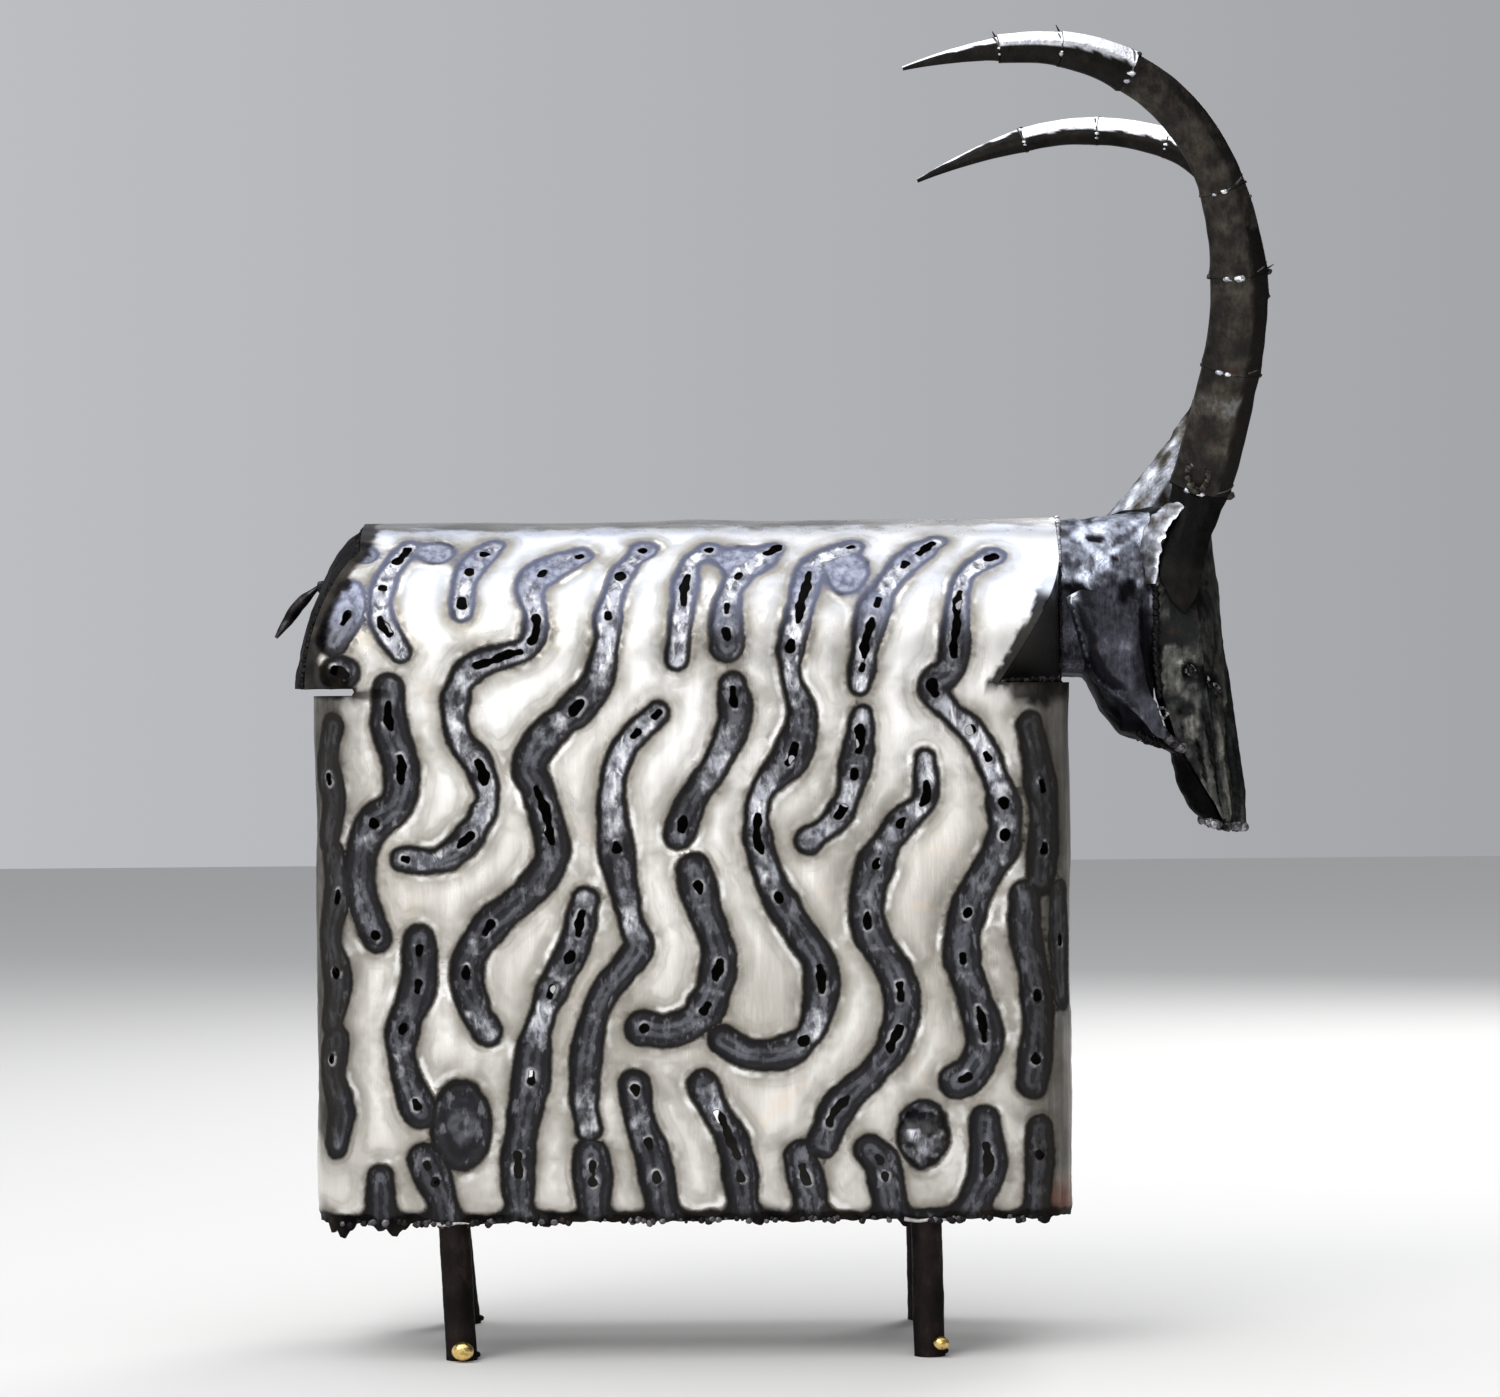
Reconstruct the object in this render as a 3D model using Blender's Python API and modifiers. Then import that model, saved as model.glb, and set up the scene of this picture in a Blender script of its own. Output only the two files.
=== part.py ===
"""Metal ram sculpture: a folded sheet-steel body on four round legs, a plate head and two long swept horns.

Metres, +Z up. +X is toward the head and -Y is the side of the near horn. The origin is on the ground under
the centre of the bounding box. Every piece is placed from the middle of the body, which one empty carries.
"""

import math

import bmesh
import bpy
from mathutils import Matrix, Vector

MM = 0.001
NAME = "metal_ram_sculpture"
GAP = 0.4 * MM  # between welded neighbours
SHEET = 1.6 * MM  # thickness of every bent or cut sheet
MERGE = 0.001 * MM  # points closer than this are one
MIRROR_MERGE = 0.02 * MM  # the same, where a mirrored half meets the other

# The empty that carries every piece sets these two: the middle of the body, and the ground in the heights below.
BODY_CENTRE_X = -35.6 * MM
GROUND_Z = 3.5 * MM

# Body: straight walls up to the spring line, then a half-round vault.
HALF_LENGTH = 152.0 * MM
HALF_DEPTH = 67.5 * MM
CORNER_R = 22.0 * MM
BOTTOM_Z = 59.0 * MM
SPRING_Z = 273.5 * MM
KERF = 3.0 * MM  # the slit that parts the vault from the bent rump corner
CORNER_STEPS = 6
VAULT_STEPS = 12
WALL_ROWS = 3
FRONT_STEPS = 6
FACET_STEPS = 4
OVERHANG_STEPS = 3  # of the vault, past the end of the slit

# Rump end of the vault, and the dished plate that closes it.
RUMP_EDGE_X = -154.5 * MM
RUMP_EDGE_SWEEP = 20.0 * MM
RUMP_EDGE_RATE = 1.6  # how fast the sweep is used up as the vault rises
RUMP_BULGE_X = -163.0 * MM
RUMP_BULGE_SWEEP = 30.0 * MM
RUMP_BULGE_POWER = 0.75
RUMP_TOP_ANGLE = math.radians(86)
RUMP_RADIUS = HALF_DEPTH - SHEET - GAP
TAIL_ROOT_Z = 316.0 * MM
TAIL_ROOT_OUT = 1.2 * MM  # from the plate's middle line to the middle of the root
RUMP_COLUMNS = 8

# Chest: the vault folds inward to the mouth of the neck.
FOLD_X = 123.0 * MM
FOLD_SWEEP = 26.0 * MM
FOLD_RATE = 1.8  # how fast the fold runs forward as the vault rises
NECK_X = 150.0 * MM
NECK_TOP_Z = 341.5 * MM
NECK_FOOT_HALF = 21.0 * MM
NECK_HALF = 25.0 * MM
MOUTH_STRAIGHT = 0.2  # share of the mouth's rim that is its straight side
TEMPLE_Z = 290.0 * MM  # where the neck and the head are widest
NECK_STEPS = 8
NECK_KEEL = ((0.55, 2.5), (0.88, 9.0))  # the underside: shares of the half width, and rises in mm

# Head: a trough of sheet whose ridge is the nose, and a rounded jaw below it.
NOSE_X = 216.0 * MM
NOSE_TOP_Z = 333.0 * MM
NOSE_LEAN = 0.117  # forward run of the nose for each unit of drop
SKULL_TOP_Z = 346.0 * MM
MUZZLE_Z = 212.5 * MM
FACE_LEVELS = 6
SKULL_LEVELS = 7
NOSE_ROUNDING = 1.5 * MM  # setback of the nose's edges
CHEEK_SETBACK = 12.0 * MM  # setback of the widest part of the face
FACE_BACK_SHARE = 0.97  # width at the back edge over the widest
JAW_INSET = 1.2 * MM  # from the face's back edge
JAW_SHOULDER = (0.18, 0.6)  # of the jaw's depth and half width, where it turns

HORN_SIDES = 8
HORN_FLATNESS = 0.82  # sideways width over fore-and-aft width
FAR_FOOT = ((185.0, 11.0), (15.0, 7.0))  # middle and half widths of the far horn's foot, mm
FAR_FOOT_LIFT = 3.6  # above the curved top that it stands on, mm
FAR_WAIST = 0.16  # how much the far root narrows between its ends
SKULL_START_X = 187.0  # where the roof of the neck begins to rise to the skull, mm
SKULL_RISE_RUN = 6.0
HORN_STEPS = 4  # rings in each section of a horn, after its first
ROOT_SHARES = (0.3, 0.65)  # the middle rings of the far root

LEG_D = 12.5 * MM
LEG_TOP_Z = 116.0 * MM
LEG_Y = HALF_DEPTH - SHEET - LEG_D / 2 - GAP
BEAD_DEPTH = 0.8  # a bead's share of its radius toward the bar
BEAD_HEIGHT = 0.85  # and upward


def clear_scene():
    for obj in list(bpy.data.objects):
        bpy.data.objects.remove(obj, do_unlink=True)


def new_collection(name):
    collection = bpy.data.collections.new(name)
    bpy.context.scene.collection.children.link(collection)
    return collection


def metal(name, colour, roughness, metallic=1.0):
    material = bpy.data.materials.new(name)
    material.use_nodes = True
    shader = material.node_tree.nodes["Principled BSDF"]
    shader.inputs["Base Color"].default_value = (*colour, 1.0)
    shader.inputs["Roughness"].default_value = roughness
    shader.inputs["Metallic"].default_value = metallic
    return material


def lerp(a, b, t):
    return a + (b - a) * t


def table(rows, key):
    """The values of a short table of (key, value, ...) rows at this key, on straight lines between its rows."""
    if key <= rows[0][0]:
        return rows[0][1:]
    for low, high in zip(rows, rows[1:]):
        if key <= high[0]:
            t = (key - low[0]) / (high[0] - low[0])
            return tuple(lerp(a, b, t) for a, b in zip(low[1:], high[1:]))
    return rows[-1][1:]


def add_object(name, mesh, material):
    obj = bpy.data.objects.new(name, mesh)
    mesh.materials.append(material)
    COLLECTION.objects.link(obj)
    obj.parent = ORIGIN
    return obj


def mesh_of(name, bm):
    bmesh.ops.remove_doubles(bm, verts=bm.verts, dist=MERGE)
    mesh = bpy.data.meshes.new(name)
    bm.to_mesh(mesh)
    bm.free()
    return mesh


def add_patch(bm, rows):
    """Joins rows of points into quads. A patch meets its neighbours where their points agree."""
    made = [[bm.verts.new(point) for point in row] for row in rows]
    for lower, upper in zip(made, made[1:]):
        for k in range(len(lower) - 1):
            bm.faces.new((lower[k], lower[k + 1], upper[k + 1], upper[k]))


def add_sheet(name, patches, material, outward, mirrored=True):
    """A bent sheet: open patches, mirrored across the centre plane and thickened inward."""
    bm = bmesh.new()
    for rows in patches:
        add_patch(bm, rows)
    bmesh.ops.remove_doubles(bm, verts=bm.verts, dist=MERGE)
    bmesh.ops.dissolve_degenerate(bm, edges=bm.edges, dist=MERGE)
    bmesh.ops.recalc_face_normals(bm, faces=bm.faces)
    bm.faces.ensure_lookup_table()
    widest = max(bm.faces, key=lambda face: face.calc_area())
    if widest.normal.dot(outward) < 0:
        bmesh.ops.reverse_faces(bm, faces=bm.faces)
    obj = add_object(name, mesh_of(name, bm), material)
    if mirrored:
        mirror = obj.modifiers.new("other_half", "MIRROR")
        mirror.use_axis = (False, True, False)
        mirror.merge_threshold = MIRROR_MERGE
    solidify = obj.modifiers.new("sheet", "SOLIDIFY")
    solidify.thickness = SHEET
    solidify.offset = -1.0
    return obj


def add_loft(name, rings, material):
    """A closed solid through rings of equal point count, capped at both ends."""
    bm = bmesh.new()
    made = [[bm.verts.new(point) for point in ring] for ring in rings]
    for lower, upper in zip(made, made[1:]):
        for k in range(len(lower)):
            after = (k + 1) % len(lower)
            bm.faces.new((lower[k], lower[after], upper[after], upper[k]))
    bm.faces.new(made[0])
    bm.faces.new(made[-1])
    bmesh.ops.recalc_face_normals(bm, faces=bm.faces)
    return add_object(name, mesh_of(name, bm), material)


# Body shell


def rump_edge_x(angle):
    """Where the vault's sheet is cut off at the rump, at this angle above the spring line."""
    return RUMP_EDGE_X + RUMP_EDGE_SWEEP * (1 - math.cos(min(RUMP_EDGE_RATE * angle, math.pi / 2)))


def fold_x(angle):
    """Where the vault's sheet folds inward to the chest."""
    return FOLD_X + FOLD_SWEEP * math.sin(min(FOLD_RATE * angle, math.pi / 2))


def wall_plan():
    """Half the plan of the walls, from the middle of the rump round the near side to the middle of the chest."""
    inner_x = HALF_LENGTH - CORNER_R
    inner_y = HALF_DEPTH - CORNER_R
    turn = [math.radians(90 * k / CORNER_STEPS) for k in range(CORNER_STEPS + 1)]
    rump = [(-inner_x - CORNER_R * math.cos(a), -inner_y - CORNER_R * math.sin(a)) for a in turn]
    front = [lerp(-inner_x, FOLD_X, k / FRONT_STEPS) for k in range(1, FRONT_STEPS + 1)]
    chest = [(inner_x + CORNER_R * math.sin(a), -inner_y - CORNER_R * math.cos(a)) for a in turn]
    return [(-HALF_LENGTH, 0.0), *rump, *((x, -HALF_DEPTH) for x in front), *chest, (HALF_LENGTH, 0.0)]


def neck_mouth(share):
    """Half the mouth of the neck, from its foot, at share 0, to its top, at share 1."""
    if share < MOUTH_STRAIGHT:
        t = share / MOUTH_STRAIGHT
        return NECK_X, -lerp(NECK_FOOT_HALF, NECK_HALF, t), lerp(SPRING_Z, TEMPLE_Z, t)
    angle = (share - MOUTH_STRAIGHT) / (1 - MOUTH_STRAIGHT) * math.pi / 2
    return NECK_X, -NECK_HALF * math.cos(angle), TEMPLE_Z + (NECK_TOP_Z - TEMPLE_Z) * math.sin(angle)


def body_patches():
    plan = wall_plan()
    slit_end = CORNER_STEPS
    fold = 1 + CORNER_STEPS + FRONT_STEPS
    wall_top = SPRING_Z - KERF
    wall = [[(x, y, lerp(BOTTOM_Z, wall_top, k / WALL_ROWS)) for x, y in plan] for k in range(WALL_ROWS + 1)]
    band = [[(x, y, z) for x, y in plan[slit_end:]] for z in (wall_top, SPRING_Z)]

    overhang = [lerp(RUMP_EDGE_X, plan[slit_end][0], k / OVERHANG_STEPS) for k in range(OVERHANG_STEPS)]
    along = overhang + [x for x, _ in plan[slit_end : fold + 1]]
    dent = [0.0] * OVERHANG_STEPS + [y + HALF_DEPTH for _, y in plan[slit_end : fold + 1]]
    shares = [(x - RUMP_EDGE_X) / (FOLD_X - RUMP_EDGE_X) for x in along]
    vault, facet = [], []
    for k in range(VAULT_STEPS + 1):
        angle = math.pi / 2 * k / VAULT_STEPS
        y, z = -HALF_DEPTH * math.cos(angle), SPRING_Z + HALF_DEPTH * math.sin(angle)
        y = 0.0 if k == VAULT_STEPS else y
        row = [(lerp(rump_edge_x(angle), fold_x(angle), t), y, z) for t in shares]
        vault.append([(x, y + d, z) for (x, y, z), d in zip(row, dent)] if k == 0 else row)
        mouth = neck_mouth(k / VAULT_STEPS)
        mouth = (mouth[0], 0.0, mouth[2]) if k == VAULT_STEPS else mouth
        corner = (fold_x(angle), y, z)
        facet.append([Vector(corner).lerp(Vector(mouth), m / FACET_STEPS) for m in range(FACET_STEPS + 1)])

    # The flat shelf on top of the chest corner, between the walls and the foot of the folded facet.
    rim = [Vector((x, y, SPRING_Z)) for x, y in plan[fold:]]
    foot = Vector(neck_mouth(0.0))
    centre = Vector((NECK_X, 0.0, SPRING_Z))
    steps = len(rim) - 1
    split = FACET_STEPS
    inner = [rim[0].lerp(foot, m / split) for m in range(split)]
    inner += [foot.lerp(centre, m / (steps - split)) for m in range(steps - split + 1)]
    return [wall, band, vault, facet, [rim, inner]]


def make_body():
    add_sheet("body_shell", body_patches(), POLISHED, Vector((0, -1, 0)))


def rump_middle_x(angle):
    return RUMP_BULGE_X + RUMP_BULGE_SWEEP * (1 - math.cos(angle)) ** RUMP_BULGE_POWER


def make_rump_plate():
    """The dished half-round plate inside the cut end of the vault."""
    radius = RUMP_RADIUS
    rows = []
    for k in range(VAULT_STEPS):
        angle = RUMP_TOP_ANGLE * k / (VAULT_STEPS - 1)
        edge_x = rump_edge_x(angle) + GAP
        middle_x = rump_middle_x(angle)
        half = radius * math.cos(angle)
        row = []
        for m in range(RUMP_COLUMNS + 1):
            t = lerp(-1.0, 1.0, m / RUMP_COLUMNS)
            row.append((lerp(middle_x, edge_x, t * t), half * t, SPRING_Z + radius * math.sin(angle)))
        rows.append(row)
    add_sheet("rump_plate", [rows], BLACKENED, Vector((-1, 0, 0)), mirrored=False)


def make_tail():
    """A short pointed flap whose root meets the rump plate's middle, and which droops backward."""
    root_angle = math.asin((TAIL_ROOT_Z - SPRING_Z) / RUMP_RADIUS)
    root_x = rump_middle_x(root_angle) - TAIL_ROOT_OUT
    stations = (  # middle x and z, half thickness, half width, mm
        (root_x / MM, TAIL_ROOT_Z / MM, 0.8, 3.0),
        (-161.5, 309.5, 2.4, 5.0),
        (-167.0, 302.0, 2.2, 4.0),
        (-172.2, 294.8, 0.7, 0.8),
    )
    away = Vector((-0.8, 0.0, 0.6))
    rings = []
    for x, z, half_thickness, half_width in stations:
        middle = Vector((x, 0.0, z)) * MM
        up = away * half_thickness * MM
        side = Vector((0.0, half_width * MM, 0.0))
        rings.append((middle + up, middle + side, middle - up, middle - side))
    add_loft("tail", rings, BLACKENED)


# Neck and head

NECK_STATIONS = (  # x, top z, bottom z, half width, mm
    (150.4, 341.5, 274.4, 25.0),
    (160.5, 342.0, 274.4, 26.0),
    (167.0, 342.5, 261.0, 26.0),
    (175.0, 343.5, 250.8, 26.0),
    (182.0, 344.5, 249.0, 25.0),
    (188.9, 345.0, 247.4, 24.0),
)
FACE_STATIONS = (  # z, x of the back edge, half width, half width of the nose, mm
    (212.5, 219.0, 13.0, 7.5),
    (222.0, 214.6, 14.5, 7.0),
    (236.0, 206.0, 17.0, 6.5),
    (249.0, 198.5, 19.2, 6.5),
    (267.0, 192.8, 21.5, 7.0),
    (290.0, 189.6, 23.0, 7.5),
    (324.0, 190.2, 23.0, 7.5),
    (346.0, 194.0, 23.0, 6.0),
)
JAW_STATIONS = (  # z, x of the back, half width, mm
    (215.0, 211.0, 9.0),
    (220.5, 205.0, 11.5),
    (231.5, 199.0, 13.5),
    (243.8, 196.8, 15.0),
    (247.0, 190.8, 15.5),
    (253.0, 189.8, 15.5),
)


def neck_ring(x, top, bottom, half):
    """Half a section of the neck, from the middle of its underside to the middle of its top."""
    lower = [(0.0, bottom)] + [(share * half, bottom + rise) for share, rise in NECK_KEEL]
    upper = [math.radians(90 * k / NECK_STEPS) for k in range(NECK_STEPS + 1)]
    temple = TEMPLE_Z / MM
    points = lower + [(half * math.cos(a), temple + (top - temple) * math.sin(a)) for a in upper]
    points[-1] = (0.0, top)
    return [(x * MM, -y * MM, z * MM) for y, z in points]


def make_neck():
    rows = [neck_ring(*station) for station in NECK_STATIONS]
    add_sheet("neck", [rows], BLUED, Vector((0, -1, 0)))


def nose_x(z):
    return NOSE_X + (NOSE_TOP_Z - z) * NOSE_LEAN


def face_section(z):
    """Half a level section of the trough: nose, edge of the nose, cheek and back edge."""
    back, half, nose = (value * MM for value in table(FACE_STATIONS, z / MM))
    if z > TEMPLE_Z:
        rise = min((z - TEMPLE_Z) / (SKULL_TOP_Z - TEMPLE_Z), 1.0)
        shrink = math.sqrt(1 - rise * rise)
        half *= shrink
        nose *= shrink
    front = nose_x(z)
    nose_edge = (front - NOSE_ROUNDING, -nose, z)
    widest = (front - CHEEK_SETBACK, -half, z)
    return [(front, 0.0, z), nose_edge, widest, (back, -FACE_BACK_SHARE * half, z)]


def make_face():
    levels = [lerp(MUZZLE_Z, TEMPLE_Z, k / FACE_LEVELS) for k in range(FACE_LEVELS)]
    turns = [math.radians(90 * k / SKULL_LEVELS) for k in range(SKULL_LEVELS + 1)]
    levels += [TEMPLE_Z + (SKULL_TOP_Z - TEMPLE_Z) * math.sin(turn) for turn in turns]
    add_sheet("face", [[face_section(z) for z in levels]], BLUED, Vector((0, -1, 0)))


def make_jaw():
    """The rounded sheet that closes the underside of the muzzle, inside the trough's edges."""
    rows = []
    for z, back, half in JAW_STATIONS:
        inside = table(FACE_STATIONS, z)[0] - JAW_INSET / MM
        shoulder = (lerp(back, inside, JAW_SHOULDER[0]), JAW_SHOULDER[1] * half)
        reach = [(back, 0.0), shoulder, (inside, half)]
        rows.append([(x * MM, -y * MM, z * MM) for x, y in reach])
    add_sheet("jaw", [rows], BLACKENED, Vector((-1, 0, 0)))


CHEEK_OUTLINE = (  # x and z, mm, round the leaf from its curled tip
    (152.8, 308.2),
    (160.9, 312.3),
    (170.7, 308.0),
    (179.7, 299.3),
    (183.6, 286.0),
    (185.4, 271.5),
    (191.0, 260.0),
    (193.8, 249.6),
    (188.5, 251.0),
    (183.4, 258.5),
    (174.8, 265.6),
    (163.8, 273.0),
    (160.1, 281.7),
    (156.0, 298.0),
)


def make_cheek(name, side):
    """A flat leaf of plate beside the neck."""
    curve = bpy.data.curves.new(name, "CURVE")
    curve.dimensions = "2D"
    curve.fill_mode = "BOTH"
    curve.extrude = SHEET / 2
    spline = curve.splines.new("POLY")
    spline.points.add(len(CHEEK_OUTLINE) - 1)
    for point, (x, z) in zip(spline.points, CHEEK_OUTLINE):
        point.co = (x * MM, z * MM, 0.0, 1.0)
    spline.use_cyclic_u = True
    curve.materials.append(BLUED)
    obj = bpy.data.objects.new(name, curve)
    COLLECTION.objects.link(obj)
    obj.parent = ORIGIN
    obj.rotation_euler = (math.pi / 2, 0.0, 0.0)
    obj.location = (0.0, side * (NECK_STATIONS[2][3] * MM + GAP + SHEET / 2), 0.0)


# Horns

# Each horn is a row of tapered sections of folded sheet, welded end to end:
# length, lean and splay at the far end in degrees, fore-and-aft width at each end, mm.
NEAR_SECTIONS = (
    (51.8, 11.0, 21.0, 24.6, 23.6),
    (40.0, -5.0, 18.0, 23.2, 22.6),
    (35.5, -19.0, 15.0, 22.6, 18.6),
    (63.0, -62.0, 13.0, 18.0, 16.0),
    (29.6, -84.0, 10.0, 16.8, 14.0),
    (25.1, -97.0, 8.0, 12.8, 11.2),
    (39.2, -107.0, 5.0, 9.0, 1.6),
)
NEAR_START = ((209.4, -17.0, 353.5), 15.0, 22.0)
FAR_SECTIONS = (
    (47.2, 3.0, 18.0, 18.4, 17.8),
    (43.5, -17.0, 17.0, 18.0, 16.0),
    (39.4, -70.0, 14.0, 15.6, 13.2),
    (31.1, -86.0, 12.0, 12.6, 11.6),
    (32.3, -104.0, 10.0, 11.4, 10.2),
    (49.6, -115.5, 8.0, 10.2, 1.6),
)
FAR_START = ((223.0, 30.7, 393.2), 28.0, 18.0)


def horn_ring(middle, lean, splay, side, width):
    """A ring of the horn across its own direction. Its first axis points to the outside of the bend."""
    lean, splay = math.radians(lean), math.radians(splay)
    ahead = Vector((math.sin(lean) * math.cos(splay), side * math.sin(splay), math.cos(lean) * math.cos(splay)))
    outer = Vector((math.cos(lean), 0.0, -math.sin(lean)))
    across = ahead.cross(outer)
    reach = width * MM / 2 / math.cos(math.pi / HORN_SIDES)
    ring = []
    for k in range(HORN_SIDES):
        a = 2 * math.pi * (k + 0.5) / HORN_SIDES
        ring.append(middle + outer * reach * math.cos(a) + across * reach * HORN_FLATNESS * math.sin(a))
    return ring, ahead


def horn_sections(start, sections, side, steps=HORN_STEPS):
    """The rings of each section in turn, with a gap at every seam."""
    middle, lean, splay = Vector(start[0]) * MM, start[1], start[2]
    for length, next_lean, next_splay, first_width, last_width in sections:
        rings = []
        for k in range(steps + 1):
            t = k / steps
            here_lean, here_splay = lerp(lean, next_lean, t), lerp(splay, next_splay, t)
            ring, ahead = horn_ring(middle, here_lean, here_splay, side, lerp(first_width, last_width, t))
            inset = GAP / 2 if k == 0 else -GAP / 2 if k == steps else 0.0
            rings.append([point + ahead * inset for point in ring])
            if k < steps:
                half = horn_ring(middle, lerp(lean, next_lean, t + 0.5 / steps), here_splay, side, 1.0)[1]
                middle = middle + half * length * MM / steps
        lean, splay = next_lean, next_splay
        yield rings


def roof_z(x, y):
    """The height of the neck's or the head's rounded top above this place, in mm."""
    top, _, half = table(NECK_STATIONS, x)
    top = lerp(top, SKULL_TOP_Z / MM, min(max((x - SKULL_START_X) / SKULL_RISE_RUN, 0.0), 1.0))
    inside = max(1 - (y / half) ** 2, 0.0)
    return TEMPLE_Z / MM + (top - TEMPLE_Z / MM) * math.sqrt(inside)


ROOT_TONGUE = (  # z, middle x, half width, inner and outer distance from the centre plane, mm
    (302.0, 201.0, 1.2, 23.8, 26.0),
    (308.0, 200.6, 5.5, 23.4, 27.0),
    (318.0, 200.0, 8.8, 21.0, 27.4),
    (333.0, 203.4, 9.6, 16.0, 27.4),
    (342.0, 206.2, 10.8, 10.4, 27.0),
)


def make_near_root(name, start, width):
    """The black tongue that laps the brow and carries the near horn."""
    rings = []
    for z, x, half, inner, outer in ROOT_TONGUE:
        middle = Vector((x, -(inner + outer) / 2, z)) * MM
        ring = []
        for k in range(HORN_SIDES):
            a = 2 * math.pi * (k + 0.5) / HORN_SIDES
            swell = 1 / math.cos(math.pi / HORN_SIDES)
            across = (outer - inner) / 2 * MM * math.sin(a) * swell
            ring.append(middle + Vector((half * MM * math.cos(a) * swell, across, 0.0)))
        rings.append(ring)
    top, ahead = horn_ring(Vector(start[0]) * MM, start[1], start[2], -1, width)
    rings.append([point - ahead * GAP / 2 for point in top])
    add_loft(name, rings, BLACKENED)


def make_far_root(name, start, width):
    """The flared cone that stands on the far slope of the neck and carries the far horn."""
    top, ahead = horn_ring(Vector(start[0]) * MM, start[1], start[2], 1, width)
    top = [point - ahead * GAP / 2 for point in top]
    foot = []
    (middle_x, middle_y), (half_x, half_y) = FAR_FOOT
    for k in range(HORN_SIDES):
        a = 2 * math.pi * (k + 0.5) / HORN_SIDES
        x, y = middle_x + half_x * math.cos(a), middle_y + half_y * math.sin(a)
        foot.append(Vector((x, y, roof_z(x, y) + FAR_FOOT_LIFT)) * MM)
    rings = [foot]
    for share in ROOT_SHARES:
        ring = [low.lerp(high, share) for low, high in zip(foot, top)]
        middle = sum(ring, Vector()) / HORN_SIDES
        waist = 1 - FAR_WAIST * math.sin(math.pi * share)
        rings.append([middle.lerp(point, waist) for point in ring])
    rings.append(top)
    add_loft(name, rings, BLACKENED)


def make_horn(name, start, sections, side, first):
    for number, rings in enumerate(horn_sections(start, sections, side), first):
        add_loft(f"{name}_{number}", rings, BLACKENED)


# Legs

LEGS = (  # name, side, x at the wall's edge and at the foot; its bead's distance ahead, height and radius, mm
    ("near_rear", -1, -97.0, -94.5, 1.0, 4.7, 4.4),
    ("near_front", -1, 92.5, 93.5, 4.5, 6.0, 3.2),
    ("far_rear", 1, -105.0, -99.5, 1.0, 4.6, 4.2),
    ("far_front", 1, 94.5, 94.5, 3.0, 4.4, 3.6),
)


def make_leg(name, side, edge_x, foot_x):
    """A round bar with a level foot, welded inside the long wall."""
    length = LEG_TOP_Z - GROUND_Z
    bpy.ops.mesh.primitive_cylinder_add(vertices=16, radius=LEG_D / 2, depth=length, location=(0, 0, 0))
    leg = bpy.context.object
    lean = (edge_x - foot_x) * MM / (BOTTOM_Z - GROUND_Z)
    shear = Matrix(((1, 0, lean, 0), (0, 1, 0, 0), (0, 0, 1, 0), (0, 0, 0, 1)))
    leg.data.transform(shear @ Matrix.Translation((0, 0, length / 2)))
    leg.name = f"leg_{name}"
    leg.data.name = leg.name
    leg.data.materials.append(BAR)
    bpy.context.collection.objects.unlink(leg)
    COLLECTION.objects.link(leg)
    leg.parent = ORIGIN
    leg.location = (foot_x * MM, side * LEG_Y, GROUND_Z)


def make_bead(name, side, foot_x, ahead, height, radius):
    """A drop of braze against the outer side of a foot."""
    bead = bpy.data.meshes.new(f"braze_bead_{name}")
    bm = bmesh.new()
    bmesh.ops.create_uvsphere(bm, u_segments=12, v_segments=8, radius=radius * MM)
    bmesh.ops.scale(bm, vec=(1.0, BEAD_DEPTH, BEAD_HEIGHT), verts=bm.verts)
    bm.to_mesh(bead)
    bm.free()
    obj = add_object(bead.name, bead, BRASS)
    reach = LEG_D / 2 + BEAD_DEPTH * radius * MM + GAP
    out = math.sqrt(reach**2 - (ahead * MM) ** 2)
    obj.location = ((foot_x + ahead) * MM, side * (LEG_Y + out), height * MM + GROUND_Z)


clear_scene()
COLLECTION = new_collection(NAME)
ORIGIN = bpy.data.objects.new("body_centre", None)
ORIGIN.location = (BODY_CENTRE_X, 0.0, -GROUND_Z)
COLLECTION.objects.link(ORIGIN)

POLISHED = metal("polished_steel", (0.72, 0.69, 0.63), 0.34)
BLACKENED = metal("blackened_steel", (0.035, 0.033, 0.032), 0.55)
BLUED = metal("blued_steel", (0.16, 0.17, 0.21), 0.42)
BAR = metal("black_bar", (0.03, 0.025, 0.024), 0.5)
BRASS = metal("brass", (0.80, 0.60, 0.22), 0.25)

make_body()
make_rump_plate()
make_tail()
make_neck()
make_face()
make_jaw()
make_cheek("cheek_near", -1)
make_cheek("cheek_far", 1)
make_near_root("horn_near_root", NEAR_START, NEAR_SECTIONS[0][3])
make_horn("horn_near", NEAR_START, NEAR_SECTIONS, -1, 1)
make_far_root("horn_far_root", FAR_START, FAR_SECTIONS[0][3])
make_horn("horn_far", FAR_START, FAR_SECTIONS, 1, 1)
for leg_name, leg_side, leg_edge_x, leg_foot_x, bead_ahead, bead_height, bead_radius in LEGS:
    make_leg(leg_name, leg_side, leg_edge_x, leg_foot_x)
    make_bead(leg_name, leg_side, leg_foot_x, bead_ahead, bead_height, bead_radius)
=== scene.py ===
"""Looks of the metal ram sculpture: flame-cut sheet body, plate head, folded horns, bar legs, brass beads.

Plain numbers are millimetres in the body's own frame. x runs from the middle of the body toward the head.
y is 0 on the centre plane and negative on the near side. z is measured above the datum of the CAD heights.
The sheet is laid out flat in (u, t): u is x along the long wall and arc length round the corners past it,
and t is the height on the wall and arc length over the half-round top.
"""

import math
from itertools import product

import bmesh
import bpy
import numpy as np
from mathutils import Matrix, Vector
from mathutils.geometry import delaunay_2d_cdt
from mathutils.kdtree import KDTree


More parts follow.
